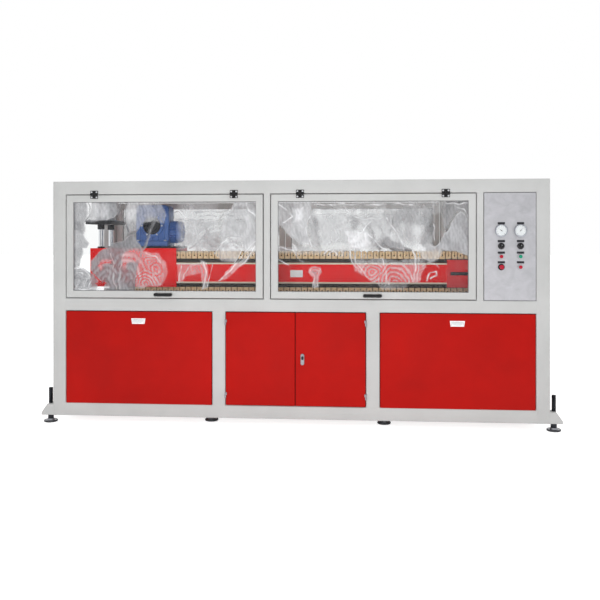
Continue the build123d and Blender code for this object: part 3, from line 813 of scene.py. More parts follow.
def hinge_leaf(low, high, moving):
    """One leaf of a butt hinge, on the door or on the rail: its plate, its knuckles and their webs."""
    x, half, face = (low[0] + high[0]) / 2, (high[0] - low[0]) / 2, FRONT - HINGE_PLATE
    clear = KNUCKLE_RADIUS + KNUCKLE_CLEARANCE
    plate_z = (low[2], PIN_Z - clear) if moving else (PIN_Z + clear, high[2])
    shapes = [bar((low[0], face, plate_z[0]), (high[0], FRONT, plate_z[1]), "y", HINGE_CORNER, CRISP)]
    outer = KNUCKLE_HALF + KNUCKLE_GAP
    for near, far in [(-KNUCKLE_HALF, KNUCKLE_HALF)] if moving else [(-half, -outer), (outer, half)]:
        web_z = ((plate_z[1] - LEAF_WEB_OVERLAP, PIN_Z) if moving else
                 (PIN_Z, plate_z[0] + LEAF_WEB_OVERLAP))
        shapes.append(bar((x + near, face, web_z[0]), (x + far, LEAF_WEB_BACK, web_z[1]), "x", CRISP))
        knuckle = sized(KNUCKLE, KNUCKLE_RADIUS, far - near)
        shapes.append(turned(knuckle, (x + near, KNUCKLE_Y, PIN_Z), "x", 20))
    screws = [dome_head((x + side * SCREW_SPREAD, face, sum(plate_z) / 2), "y", -1, SCREW_RADIUS,
                        SCREW_HEIGHT) for side in BOTH]
    return joined(shapes), joined(screws)


def make_hinge_leaves(prefix, node, moving, body="frame"):
    """The leaves of a door's or the rail's hinges, and the screws on them."""
    leaves, screws = zip(*(hinge_leaf(*ends, moving) for ends in solids(node)))
    piece(prefix + "_hinge_leaves", list(leaves), BLACK_MOULDED, body, node, "black_steel")
    piece(prefix + "_hinge_screws", list(screws), ZINC, body)


def bar_handle(low, high):
    """A grip with fully rounded ends on two necks, along the longer of X and Z."""
    along = 0 if high[0] - low[0] > high[2] - low[2] else 2
    side, face = outer_side(low)
    outer = low[1] if side < 0 else high[1]
    grip_y = sorted((outer, outer - side * GRIP_DEPTH))
    shapes = [bar((low[0], grip_y[0], low[2]), (high[0], grip_y[1], high[2]), "y",
                  min(high[0] - low[0], high[2] - low[2]) / 2 * GRIP_ROUNDING, GRIP_RADIUS)]
    neck_y = sorted((outer - side * NECK_START, face))
    for start in (low[along] + NECK_INSET, high[along] - NECK_INSET - NECK_WIDTH):
        neck_low, neck_high = low.copy(), high.copy()
        neck_low[1], neck_high[1] = neck_y
        neck_low[along], neck_high[along] = start, start + NECK_WIDTH
        shapes.append(bar(neck_low, neck_high, "y", NECK_CORNER))
    return joined(shapes)


def guard_seat(low, high):
    """The rubber strip that a lift-off guard stands on, between its lower member and the middle rail."""
    return bar((low[0] - GUARD_MEMBER, BACK - GUARD_DEPTH, MIDDLE_RAIL_TOP),
               (high[0] + GUARD_MEMBER, BACK - SEAT_SINK, low[2] - GUARD_MEMBER), "x", EASED)


def make_guards():
    """Front guard doors with gaskets, hinges, screws and handles, then the lift-off guards behind."""
    for side_name in ("left", "right"):
        body, pane = side_name + "_guard_door", box(side_name + "_guard_pane")
        piece(side_name + "_guard_tubes", guard_tubes(*pane), GREY_COAT, body, side_name + "_guard_frame")
        piece(side_name + "_guard_gasket", gasket(*pane), GREY_RUBBER, body)
        make_hinge_leaves(side_name, side_name + "_guard_hinges", True, body)
        dressed(side_name + "_door_handle", side_name + "_guard_handle", bar_handle, BLACK_MOULDED, body)
    make_hinge_leaves("rail", "guard_hinge_leaves", False)
    doors = [box(side_name + "_guard_frame") + BEHIND for side_name in ("left", "right")]
    piece("guard_door_seals", [gap_seal(*door, -1) for door in doors], DARK_RUBBER)
    panes = solids("back_guard_panes")
    piece("back_guard_tubes", [guard_tubes(*pane) for pane in panes], GREY_COAT, node="back_guard_frames")
    piece("back_guard_seats", [guard_seat(*pane) for pane in panes], DARK_RUBBER)
    piece("back_guard_gaskets", [gasket(*pane) for pane in panes], GREY_RUBBER)
    dressed("back_door_handles", "back_guard_handles", bar_handle, BLACK_MOULDED)


# Protective film on the panes. Its folds lie at places given as column and row of the 600 pixel view.
FILM_STEP = 0.0032
BACK_FILM_STEP = 0.0055
FILM_STAND = 0.0015
FILM_RELIEF = 0.0075
FILM_RIM = 0.012
FRONT_HAZE = 0.012
BACK_HAZE = 0.44
# Back films are drawn darker by this share: painted shade for the dim space seen through them
BACK_FILM_SHADE = 0.7
FOLD_WIDTH = 0.7

# Each patch: its outline, how much it hides, how light it is and how soft its edge is. The lightness holds
# the film's milky tone, lowered as painted shade for the dim space seen through it, most at the left end and
# over the lift.
LEFT_PATCHES = {
    "haze_between": ([(178, 203), (216, 203), (217, 252), (179, 252)], 0.3, 0.8, 3.0),
    "edge_strip": ([(70, 197), (86, 197), (88, 214), (85, 223), (83, 250), (80, 266),
                    (70, 268)], 0.8, 0.5, 1.5),
    "edge_low": ([(70, 222), (83, 222), (82, 232), (70, 232)], 0.8, 0.42, 2.0),
    "edge_lobe": ([(70, 231), (79, 230), (89, 243), (88, 248), (78, 249), (70, 246)], 0.85, 0.62, 1.0),
    "corner_loops": ([(70, 266), (84, 267), (94, 275), (98, 282), (98, 288), (88, 295),
                      (70, 295)], 0.85, 0.52, 1.0),
    "over_lift": ([(91, 197), (119, 197), (118, 212), (114, 218), (101, 221), (87, 222), (89, 216),
                   (91, 207)], 0.7, 0.6, 0.9),
    "lift_light": ([(94, 203), (105, 203), (109, 211), (104, 219), (96, 218)], 0.8, 0.78, 2.5),
    "over_gearbox": ([(128, 197), (159, 197), (167, 216), (165, 224), (153, 221), (144, 223), (136, 230),
                      (131, 233), (127, 225), (125, 214)], 0.42, 0.82, 0.9),
    "gearbox_light": ([(128, 199), (139, 199), (136, 214), (130, 224), (127, 214)], 0.7, 0.86, 2.0),
    "grey_dome": ([(91, 269), (92, 261), (98, 253), (108, 247), (118, 243), (124, 240), (131, 236),
                   (134, 236), (140, 245), (143, 251), (140, 260), (137, 270), (135, 291), (112, 291),
                   (104, 284), (96, 277)], 0.9, 0.48, 1.0),
    "dome_left_window": ([(99, 266), (101, 261), (105, 259), (111, 260), (110, 264), (104, 265),
                          (101, 270)], 0.35, 0.85, 1.0),
    "dome_right_window": ([(122, 266), (124, 252), (130, 249), (139, 250), (140, 256), (136, 262),
                           (128, 263), (125, 270)], 0.4, 0.85, 1.5),
    "dome_foot_window": ([(96, 284), (103, 280), (107, 283), (104, 286)], 0.05, 0.6, 0.8),
    "pink_field": ([(139, 252), (147, 252), (159, 254), (165, 262), (168, 271), (166, 279), (160, 286),
                    (136, 288), (137, 272)], 0.3, 0.93, 1.0),
    "over_beam": ([(177, 264), (204, 264), (206, 270), (204, 282), (196, 276), (186, 279),
                   (178, 283)], 0.3, 0.9, 1.0),
    "beam_window": ([(184, 281), (186, 277), (192, 274), (200, 274), (202, 277),
                     (201, 282)], 0.03, 0.9, 0.9),
    "fan_foot": ([(201, 260), (207, 262), (208, 276), (208, 289), (203, 289), (201, 276)], 0.3, 0.95, 1.0),
    "right_veil": ([(219, 238), (223, 224), (229, 212), (238, 197), (258, 197), (258, 244), (247, 256),
                    (242, 240), (233, 236), (226, 238)], 0.6, 0.76, 2.0),
    "veil_shade": ([(226, 214), (236, 208), (244, 214), (240, 222), (228, 224)], 0.55, 0.66, 2.5),
    "arch": ([(213, 254), (222, 242), (233, 237), (241, 240), (241, 253), (236, 262),
              (226, 262)], 0.4, 0.88, 1.0),
    "under_arch": ([(219, 281), (231, 268), (243, 258), (252, 246), (258, 243), (258, 252), (243, 264),
                    (226, 279)], 0.3, 0.95, 1.0),
}
# Each fold: its path, how light and how wide it is. Dark folds are painted shade in the creases, light ones
# painted highlights along them.
LEFT_FOLDS = [
    ([(87, 198), (89.5, 207), (89, 216), (85.5, 222)], 0.12, 1.0),
    ([(120, 198), (120, 207), (118, 214)], 0.3, 0.9),
    ([(127, 198), (125.5, 209), (125, 218), (127.5, 227), (129.5, 233)], 0.15, 1.2),
    ([(154.5, 221), (147, 243), (140.5, 257), (136, 269), (134, 283)], 0.5, 1.5),
    ([(152.5, 221), (146, 240), (143, 248)], 0.1, 1.1),
    ([(143, 223), (135, 233), (128, 244), (117, 249)], 0.42, 0.8),
    ([(113, 250), (117, 260), (118, 276), (117.5, 290)], 0.28, 0.9),
    ([(124, 256), (120.5, 268), (119, 289)], 0.8, 0.8),
    ([(131, 263), (124, 272), (121.5, 290)], 0.4, 0.6),
    ([(110, 253), (113.5, 264), (114.5, 280), (116, 290)], 0.8, 0.6),
    ([(128, 284), (131, 280), (134, 284), (134, 290)], 0.2, 1.0),
    ([(102, 282), (108, 280), (112, 284)], 0.25, 1.0),
    ([(147, 254), (155, 256), (161, 262)], 0.95, 0.6),
    ([(177, 210), (187, 216.5), (184, 218), (178, 213)], 0.95, 0.7),
    ([(74, 268), (82, 267), (89, 273), (92, 281), (89, 287)], 1.0, 0.9),
    ([(76, 273), (83, 272), (87, 279), (84, 286)], 1.0, 0.7),
    ([(75, 279), (80, 278), (82, 283), (78, 287)], 0.3, 0.8),
    ([(84, 274), (88, 280), (86, 285)], 0.25, 0.6),
    ([(80, 291), (94, 288.5), (110, 286.3)], 1.0, 1.4),
    ([(96, 290.5), (110, 289), (126, 290.5)], 0.25, 1.0),
    ([(73, 244), (80, 241), (88, 244), (84, 248)], 0.45, 0.6),
    ([(213.5, 254), (222, 242.5), (233, 237), (241, 239), (243, 246), (241, 254), (236, 262),
      (226, 272)], 0.98, 0.6),
    ([(224, 239), (233, 235.5), (242, 238), (244.5, 246)], 0.5, 0.5),
    ([(219, 251), (228, 243), (236, 240)], 0.55, 0.6),
    ([(256, 241), (246, 251), (238, 262), (228, 272), (219, 281)], 1.0, 0.8),
    ([(256, 246), (248, 258), (239, 266)], 1.0, 0.6),
    ([(204, 262), (206, 272), (205, 282), (203, 288)], 1.0, 0.8),
    ([(213, 264), (210, 274), (208, 287)], 1.0, 0.5),
    ([(190, 267), (184, 274), (182, 282)], 1.0, 0.5),
    ([(181, 266), (179, 274), (178, 283)], 1.0, 0.5),
    ([(246, 203), (250, 212), (256, 217)], 1.0, 1.2),
    ([(177, 264), (203, 264.5)], 0.9, 0.5),
]
# Each set of nested ripples: its centre, reach, spacing, height over width, strength, and whether only
# its upper half shows
LEFT_RINGS = [
    ((106.5, 281), 18.0, 4.3, 1.2, 0.1, True),
    ((127.5, 281), 22.0, 4.6, 1.5, 0.1, True),
    ((146, 284), 15.0, 3.1, 1.05, 0.12, True),
    ((156.4, 269), 9.0, 4.2, 1.05, 0.1, False),
    ((152, 262), 11.0, 3.2, 0.6, 0.1, True),
    ((82, 282), 12.0, 3.6, 0.9, 0.16, False),
    ((240, 226), 22.0, 9.0, 1.3, 0.08, False),
]
RIGHT_PATCHES = {
    "upper_strip": ([(311, 197), (472, 197), (472, 213), (311, 215)], 0.3, 0.84, 3.0),
    "middle_veil": ([(310, 215), (401, 215), (403, 234), (404, 250), (385, 246), (370, 249), (345, 244),
                     (311, 246)], 0.46, 0.7, 1.5),
    "veil_fold": ([(330, 216), (360, 217), (352, 232), (335, 240), (324, 232)], 0.5, 0.72, 2.5),
    "veil_fold_low": ([(376, 232), (398, 236), (402, 248), (384, 245)], 0.5, 0.7, 2.0),
    "upper_left_veil": ([(274, 197), (311, 197), (311, 213), (307, 226), (311, 244), (300, 244), (290, 236),
                         (281, 226), (274, 224)], 0.62, 0.78, 1.5),
    "knot_left": ([(293, 208), (303, 208), (302, 219), (295, 222)], 0.85, 0.88, 2.0),
    "bright_knot": ([(345, 232), (356, 230), (367, 233), (371, 243), (362, 250),
                     (350, 247)], 0.72, 0.9, 1.8),
    "side_veil": ([(402, 205), (430, 204), (430, 246), (404, 250)], 0.4, 0.74, 3.0),
    "mushroom_cap": ([(308.5, 272), (310, 268), (315, 266), (320, 268), (322, 273), (319, 276),
                      (311, 276)], 0.36, 0.95, 0.8),
    "mushroom_foot": ([(312, 275), (319, 275), (319, 288), (313, 288)], 0.35, 0.95, 0.8),
    "pink_field": ([(353, 258), (366, 260), (380, 259), (400, 261), (421, 257), (427, 266), (424, 271),
                    (421, 279), (418, 283), (374, 283), (366, 277), (354, 271)], 0.28, 0.95, 1.0),
    "fan_foot": ([(374, 281), (410, 281), (404, 290), (382, 290)], 0.25, 0.85, 1.2),
    "right_white": ([(416, 246), (428, 244), (442, 249), (440, 259), (430, 263),
                     (421, 258)], 0.42, 0.93, 1.5),
    "over_housing": ([(446, 258), (472, 257), (472, 293), (446, 291)], 0.2, 0.3, 1.0),
    "sail_shadow": ([(441, 205), (472, 202), (472, 224), (464, 212), (458, 211), (450, 222),
                     (444, 233)], 0.5, 0.6, 1.5),
    "grey_sail": ([(436, 248), (444, 237), (454, 218), (460, 211.5), (465, 215), (470, 225), (472, 256),
                   (455, 251)], 0.86, 0.66, 1.0),
    "over_pads": ([(274, 247), (300, 247), (345, 250), (353, 256), (330, 256),
                   (280, 253)], 0.34, 0.78, 2.0),
}
RIGHT_FOLDS = [
    ([(314, 204.2), (386, 204.2)], 1.0, 0.9),
    ([(394, 204), (412, 204)], 1.0, 0.9),
    ([(445, 203.6), (472, 203.6)], 1.0, 0.8),
    ([(316, 209.5), (372, 209.5)], 0.55, 0.7),
    ([(311, 214.5), (400, 214.5)], 0.6, 0.5),
    ([(277, 204), (287, 210), (292, 217), (284, 222)], 1.0, 1.2),
    ([(278, 246), (292, 250), (303, 262)], 1.0, 0.8),
    ([(277, 258), (288, 265)], 1.0, 0.7),
    ([(311, 216), (305, 228), (313, 246)], 0.95, 0.7),
    ([(347, 232), (349, 246), (352, 262), (360, 272)], 1.0, 0.9),
    ([(353, 245), (356, 262), (364, 274)], 0.95, 0.7),
    ([(368, 234), (377, 244), (386, 249)], 0.95, 0.9),
    ([(386, 218), (397, 234), (404, 249)], 0.95, 1.0),
    ([(396, 219), (400, 232), (405, 246)], 0.5, 0.8),
    ([(335, 229), (338, 238), (333, 246)], 0.9, 0.8),
    ([(413.5, 250), (415, 266), (413, 282)], 1.0, 1.0),
    ([(417, 252), (418.5, 266), (417, 280)], 0.9, 0.7),
    ([(364, 250), (363, 262), (366, 272)], 0.45, 0.5),
    ([(382, 259), (386, 272), (388, 284)], 1.0, 0.7),
    ([(312, 287), (314.5, 276), (311, 270)], 0.95, 0.6),
    ([(318, 287), (316.5, 276), (320, 270)], 0.95, 0.6),
    ([(315.5, 287), (315.5, 273), (312, 271.5), (319, 271.5)], 0.3, 0.5),
    ([(426, 280), (430, 273), (436, 271), (436, 276), (430, 279)], 0.95, 1.0),
    ([(422, 266), (428, 263), (436, 264), (439, 268)], 0.9, 0.5),
    ([(436, 248), (444, 237), (454, 218), (460, 211.5), (466, 216), (470, 225)], 0.85, 0.6),
    ([(455, 206), (464, 209), (470, 219)], 1.0, 0.8),
    ([(432, 202), (434.5, 220), (434, 240)], 0.85, 0.8),
    ([(345, 206), (350, 214), (362, 219), (380, 218)], 0.9, 0.6),
    ([(371, 222), (362, 232), (352, 240)], 1.0, 1.2),
]
RIGHT_RINGS = [
    ((333.6, 256), 14.0, 4.6, 1.1, 0.26, True),
    ((395.3, 285), 20.0, 3.4, 1.3, 0.14, True),
    ((372, 272.3), 13.0, 3.8, 0.85, 0.12, False),
    ((315.5, 272), 6.0, 2.6, 0.9, 0.16, True),
    ((431.6, 275), 6.5, 3.2, 0.8, 0.2, False),
    ((352, 236), 26.0, 8.0, 0.7, 0.08, False),
]


def photo_place(points):
    """Column and row of each point in the photograph: the camera's turn, then division by depth."""
    off = points - np.array(CAMERA_PLACE)
    depth = off[..., 1] * math.cos(CAMERA_TURN) - off[..., 0] * math.sin(CAMERA_TURN)
    across = off[..., 0] * math.cos(CAMERA_TURN) + off[..., 1] * math.sin(CAMERA_TURN)
    return CENTRE_PIXEL + FOCAL_PIXELS * across / depth, HORIZON_PIXEL - FOCAL_PIXELS * off[..., 2] / depth


def ripples(column, row, length, seed):
    """A smooth wavering between -1 and 1: nine sines of seeded directions, lengths and phases, averaged."""
    dice = np.random.default_rng(seed)
    total = np.zeros_like(column)
    for heading, phase, stretch in zip(dice.uniform(0, np.pi, 9), dice.uniform(0, 2 * np.pi, 9),
                                       dice.uniform(0.5, 2.2, 9)):
        along = column * math.cos(heading) + row * math.sin(heading)
        total += np.sin(along * 2 * np.pi * stretch / length + phase)
    return np.clip(total / 3.2, -1, 1)


def off_path(column, row, path):
    """Distance to the nearest place of a broken line."""
    nearest = np.full(column.shape, 1e9)
    for (c0, r0), (c1, r1) in zip(path[:-1], path[1:]):
        reach = (c1 - c0) ** 2 + (r1 - r0) ** 2
        share = np.clip(((column - c0) * (c1 - c0) + (row - r0) * (r1 - r0)) / reach, 0, 1)
        off_column, off_row = column - c0 - share * (c1 - c0), row - r0 - share * (r1 - r0)
        nearest = np.minimum(nearest, np.hypot(off_column, off_row))
    return nearest


def within(column, row, outline, softness):
    """1 inside an outline and 0 outside, with a soft edge: a ray's crossings, and the distance to it."""
    crossings = np.zeros(column.shape, int)
    ring = outline + outline[:1]
    for (c0, r0), (c1, r1) in zip(ring[:-1], ring[1:]):
        if r0 != r1:
            crossings += ((row < r0) != (row < r1)) & (column < (c1 - c0) * (row - r0) / (r1 - r0) + c0)
    signed = off_path(column, row, ring) * np.where(crossings % 2, 1, -1)
    share = np.clip(0.5 + signed / (2 * softness), 0, 1)
    return share * share * (3 - 2 * share)


def film_pattern(column, row, patches, folds, rings, base):
    """Haze, lightness and height of the film: patches laid over one another, then nested ripples as
    cosines of the distance to their middles, then folds as bell curves about their lines."""
    column, row = column + 0.9 * ripples(column, row, 25, 3), row + 0.8 * ripples(column, row, 23, 4)
    haze = base * (1 + 0.7 * ripples(column, row, 34, 5))
    light = 0.86 + 0.08 * ripples(column, row, 30, 8)
    height = 0.25 + 0.2 * ripples(column, row, 26, 6)
    streaks = 0.6 * ripples(column, row * 0.6, 22, 7) + 0.4 * ripples(column * 1.5, row * 0.8, 9, 9)
    for outline, hidden, lightness, softness in patches.values():
        share = within(column, row, outline, softness)
        haze += (hidden * (1 + 0.2 * streaks) - haze) * share
        light += (lightness + 0.08 * streaks - light) * share
        height += 0.25 * share * (hidden + 0.3 * streaks)
    for (c0, r0), reach, spacing, tallness, strength, upper in rings:
        away = np.hypot(column - c0, (row - r0) / tallness)
        wave = np.cos(2 * np.pi * away / spacing + 1.1 * streaks) * np.clip((reach - away) / 2, 0, 1)
        if upper:
            wave = wave * np.clip((r0 + 1 - row) / 3, 0, 1)
        haze += strength * wave * np.clip(haze * 3, 0.1, 1)
        # the ripples' crests are painted lighter and their troughs darker: painted highlight and shade
        light += 0.55 * strength * wave
        height += 0.3 * strength * wave
    for number, (path, lightness, width) in enumerate(folds):
        share = np.exp(-(off_path(column, row, path) / (width * FOLD_WIDTH)) ** 2)
        share = share * np.clip(0.72 + 0.4 * ripples(column, row, 13, 40 + number), 0.1, 1)
        haze += (0.85 - haze) * share
        # dark folds paint shade into the creases and light ones paint highlights along them
        light += (lightness - light) * share
        height += 0.35 * share * (lightness - 0.4)
    return np.clip(haze, 0.004, 0.95), np.clip(light, 0, 1) ** 2.2, np.clip(height, 0, 1)


def film_sheet(name, pane, features, body="frame", shown_from=None):
    """A film over a pane's outer face: a grid whose haze, lightness and height the pattern gives. A back
    film is coarser and darker, and takes the pattern of the front pane at its mirrored place."""
    low, high = pane
    side, _ = outer_side(low)
    step, base = (FILM_STEP, FRONT_HAZE) if shown_from is None else (BACK_FILM_STEP, BACK_HAZE)
    columns, rows = int((high[0] - low[0]) / step), int((high[2] - low[2]) / step)
    x = np.linspace(low[0] + GASKET_COVER, high[0] - GASKET_COVER, columns)[:, None]
    z = np.linspace(low[2] + GASKET_COVER, high[2] - GASKET_COVER, rows)[None]
    points = np.zeros((columns, rows, 3))
    points[..., 0], points[..., 2] = x, z
    seen = points.copy()
    if shown_from is not None:
        span = (shown_from[1][0] - shown_from[0][0]) / (high[0] - low[0])
        seen[..., 0] = shown_from[1][0] - (x - low[0]) * span
    seen[..., 1] = box("left_guard_pane")[0][1]
    haze, light, height = film_pattern(*photo_place(seen), *features, base)
    # the back film's painted shade
    if shown_from is not None:
        light = light * BACK_FILM_SHADE
    rim = np.minimum(np.minimum(x - x[0], x[-1] - x), np.minimum(z - z[0, 0], z[0, -1] - z)) / FILM_RIM
    face = low[1] if side < 0 else high[1]
    points[..., 1] = face + side * (FILM_STAND + FILM_RELIEF * height * np.clip(rim, 0, 1))
    made = piece(name, surface(points, round_closed=False, capped=False), FILM, body, sharp=180)
    for key, values in (("haze", haze), ("lightness", light)):
        layer = made.data.attributes.new(key, "FLOAT", "POINT")
        layer.data.foreach_set("value", values.astype(np.float32).ravel())


def make_films():
    """The films still on the panes, front and back."""
    left, right = (LEFT_PATCHES, LEFT_FOLDS, LEFT_RINGS), (RIGHT_PATCHES, RIGHT_FOLDS, RIGHT_RINGS)
    left_pane, right_pane = box("left_guard_pane"), box("right_guard_pane")
    film_sheet("left_pane_film", left_pane, left, "left_guard_door")
    film_sheet("right_pane_film", right_pane, right, "right_guard_door")
    first, second = solids("back_guard_panes")
    film_sheet("back_pane_film_a", first, right, shown_from=right_pane)
    film_sheet("back_pane_film_b", second, left, shown_from=left_pane)


# Control station
PLATE_GAP = np.array([0.0025, 0, 0.0025])
PLATE_CORNER = 0.003
PLATE_EDGE = 0.0006
JOINT_INSET = np.array([0.0005, 0, 0.0005])
JOINT_SINK = np.array([0, 0.0015, 0])
JOINT_BACK = np.array([0, 0.001, 0])
LABEL_HALF = (0.021, 0.0065)
LABEL_THICKNESS = 0.0012
LABEL_CORNER = 0.0015
LABEL_EDGE = 0.0004
LABEL_ABOVE = {"gauge": 0.043, "knob": 0.029, "button": 0.023, "stop": 0.028}
BOX_CORNER = 0.004
SEAM_SHARE = 0.9
SEAM_WIDTH = 0.002
LID_INSET = 0.002
LID_CORNER = 0.006
LID_EDGE = 0.004
SEAM_SINK = 0.006
SEAM_REACH = 0.004
BEZEL_PROUD = 0.0025
DIAL_DEPTH = 0.0065
DIAL_THICKNESS = 0.001
LENS_DEPTH = 0.0098
TICKS = 11
TICK_SWEEP = math.radians(270)
TICK_HALF = 0.0005
TICK_SPAN = (0.62, 0.76)
TICK_DEPTH = 0.0005
MARK_PROUD = 0.0004
NEEDLE_TURNS = (-0.9, 0.7)
NEEDLE_REACH = 0.68
NEEDLE_ABOVE = (0.0012, 0.0006)
NEEDLE_TAIL = 0.007
NEEDLE_HALF = 0.0011
NEEDLE_HUB = [(0.003, 0), (0.0025, 0.0012), (0, 0.0015)]
KNOB_FLUTES = 16
KNOB_FLUTE_SHARE = 0.02
LINE_HALF = 0.0008
LINE_PROUD = 0.0002
LINE_SINK = 0.002
LINE_START = 0.002
LINE_REACH = 0.35
LINE_CORNER = 0.0007
CAP_BASE = 0.003
# Shares of the rim's radius, distances from the plate and shares of the depth
GAUGE_BEZEL = [(0.93, 0), (1, 0.002), (1, 0.0085), (0.96, 0.0112), (0.88, 0.0118), (0.83, 0.0095),
               (0.82, DIAL_DEPTH - DIAL_THICKNESS)]
GAUGE_DIAL = [(0.815, 0), (0.815, DIAL_THICKNESS)]
GAUGE_LENS = [(0.83, 0), (0.83, 0.0005), (0.6, 0.0012), (0, 0.0016)]
REGULATOR_KNOB = [(0.97, 0), (0.97, 0.005), (0.82, 0.007), (0.8, 0, 0.75), (0.72, 0, 0.92), (0.5, 0, 0.99),
                  (0, 0, 1)]
BUTTON_COLLAR = [(0.95, 0), (1, 0.001), (1, 0.004), (0.93, 0.0055), (0.78, 0.0055), (0.75, CAP_BASE)]
BUTTON_CAP = [(0.72, CAP_BASE), (0.72, 0, 0.6), (0.66, 0, 0.85), (0.4, 0, 0.97), (0, 0, 1)]


def round_control(low, high):
    """Middle, rim radius and depth of a round piece on the control plate."""
    x, _, z = (low + high) / 2
    return x, z, (high[0] - low[0]) / 2, high[1] - low[1]


def on_plate(profile, rim, x, z, segments, depth=0.0, out=0.0, flutes=0, flute_share=0.0):
    """A profile sized by its rim and depth, turned outwards from the plate or from a distance off it."""
    return turned(sized(profile, rim, depth), (x, FRONT - out, z), "y", segments, -1, flutes, flute_share)


def turn_y(angles):
    """Matrices that turn a shape about Y."""
    angles = np.atleast_1d(angles)
    turns = np.zeros((len(angles), 3, 3))
    turns[:, 0, 0] = turns[:, 2, 2] = np.cos(angles)
    turns[:, 0, 2], turns[:, 2, 0] = np.sin(angles), -np.sin(angles)
    turns[:, 1, 1] = 1
    return turns


def gauge_marks(rim, centre, needle_turn):
    """The ticks round a dial, and its needle on a hub."""
    face = -DIAL_DEPTH - MARK_PROUD
    tick = bar((-TICK_HALF, face, rim * TICK_SPAN[0]), (TICK_HALF, face + TICK_DEPTH, rim * TICK_SPAN[1]),
               "y", MARK_PROUD)
    sweep = np.linspace(-TICK_SWEEP / 2, TICK_SWEEP / 2, TICKS)
    outline = [(-NEEDLE_TAIL, -NEEDLE_HALF), (-NEEDLE_TAIL, NEEDLE_HALF), (rim * NEEDLE_REACH, 0.0)]
    needle = prism(outline, "y", *(face - above for above in NEEDLE_ABOVE))
    hub = turned(NEEDLE_HUB, (0, face - MARK_PROUD, 0), "y", 16, -1)
    return [repeated(tick, np.tile(centre, (TICKS, 1)), turn_y(sweep)),
            repeated(joined([needle, hub]), [centre], turn_y(needle_turn))]


def make_gauges():
    """Two pressure gauges: spun bezel, white dial, black ticks, a needle each and a lens."""
    bezels, dials, marks, lenses = [], [], [], []
    for ends, needle_turn in zip(solids("pressure_gauges"), NEEDLE_TURNS):
        x, z, rim, _ = round_control(*ends)
        rim += BEZEL_PROUD
        bezels.append(on_plate(GAUGE_BEZEL, rim, x, z, 56))
        dials.append(on_plate(GAUGE_DIAL, rim, x, z, 48, out=DIAL_DEPTH - DIAL_THICKNESS))
        marks += gauge_marks(rim, (x, FRONT, z), needle_turn)
        lenses.append(on_plate(GAUGE_LENS, rim, x, z, 48, out=LENS_DEPTH))
    piece("gauge_bezels", bezels, BEZEL_STEEL, node="pressure_gauges")
    piece("gauge_dials", dials, DIAL_WHITE)
    piece("gauge_marks", marks, MARK_BLACK)
    piece("gauge_lenses", lenses, CLEAR_SHEET)


def make_knobs():
    """Fluted regulator knobs with a white line each."""
    knobs, lines = [], []
    for low, high in solids("control_knobs"):
        x, z, rim, depth = round_control(low, high)
        knobs.append(on_plate(REGULATOR_KNOB, rim, x, z, 96, depth, 0, KNOB_FLUTES, KNOB_FLUTE_SHARE))
        lines.append(bar((x - LINE_HALF, low[1] - LINE_PROUD, z + LINE_START),
                         (x + LINE_HALF, low[1] + LINE_SINK, z + rim * LINE_REACH), "y", LINE_CORNER))
    piece("regulator_knobs", knobs, BLACK_MOULDED, node="control_knobs")
    piece("knob_lines", lines, DIAL_WHITE)


def from_the_top(ends):
    """Upper rows first, and each from the left."""
    return -round(float(ends[0][2] + ends[1][2]), 2), ends[0][0]


def make_buttons():
    """Push buttons, a green one among red ones, in bright collars and, on the latched one, a black ring."""
    collars, latched, reds, greens = [], [], [], []
    places = ((collars, reds), (collars, greens), (latched, reds), (collars, reds))
    for ends, (around, caps) in zip(sorted(solids("push_buttons"), key=from_the_top), places):
        x, z, rim, depth = round_control(*ends)
        around.append(on_plate(BUTTON_COLLAR, rim, x, z, 40))
        caps.append(on_plate(BUTTON_CAP, rim, x, z, 36, depth))
    node = "push_buttons"
    piece("button_collars", collars, ZINC, node=node)
    piece("latched_button_ring", latched, BLACK_MOULDED, node=node)
    piece("red_button_caps", reds, LENS_RED, node=node)
    piece("green_button_cap", greens, LENS_GREEN, node=node)


def control_cabinet(low, high):
    """The box behind the plate, its lid and the sunk neck that shows as a seam between them."""
    seam = low[1] + (high[1] - low[1]) * SEAM_SHARE

    def part(inset, near, far, corner, edge=0.0):
        return bar((low[0] + inset, near, low[2] + inset), (high[0] - inset, far, high[2] - inset),
                   "y", corner, edge)

    return joined([part(0, low[1], seam, BOX_CORNER, CRISP),
                   part(LID_INSET, seam + SEAM_WIDTH, high[1], LID_CORNER, LID_EDGE),
                   part(SEAM_SINK, seam - SEAM_WIDTH, seam + SEAM_REACH, BOX_CORNER)])


def make_label_strips():
    """Blank strips in two columns, one above each row of controls."""
    columns = [(low[0] + high[0]) / 2 for low, high in solids("pressure_gauges")]
    buttons = sorted({round(float(low[2] + high[2]) / 2, 3) for low, high in solids("push_buttons")})
    heights = [box("pressure_gauges")[:, 2].mean() + LABEL_ABOVE["gauge"],
               box("control_knobs")[:, 2].mean() + LABEL_ABOVE["knob"],
               buttons[-1] + LABEL_ABOVE["button"], buttons[0] + LABEL_ABOVE["stop"]]
    strip = bar((-LABEL_HALF[0], -LABEL_THICKNESS, -LABEL_HALF[1]), (LABEL_HALF[0], 0, LABEL_HALF[1]),
                "y", LABEL_CORNER, LABEL_EDGE)
    places = [(x, FRONT, z) for x in columns for z in heights]
    piece("blank_label_strips", repeated(strip, places), LABEL_BLACK)


def make_control_station():
    """A brushed plate in a dark joint, label strips and controls on it, and the box behind."""
    low, high = box("control_plate")
    face = bar(low + PLATE_GAP, high - PLATE_GAP, "y", PLATE_CORNER, PLATE_EDGE)
    piece("control_face", face, STAINLESS, node="control_plate")
    joint = bar(low + JOINT_INSET + JOINT_SINK, high - JOINT_INSET + JOINT_BACK, "y", CRISP)
    piece("control_joint", joint, DARK_RUBBER)
    make_label_strips()
    piece("control_cabinet", control_cabinet(*box("control_box")), GREY_COAT, node="control_box")
    make_gauges()
    make_knobs()
    make_buttons()


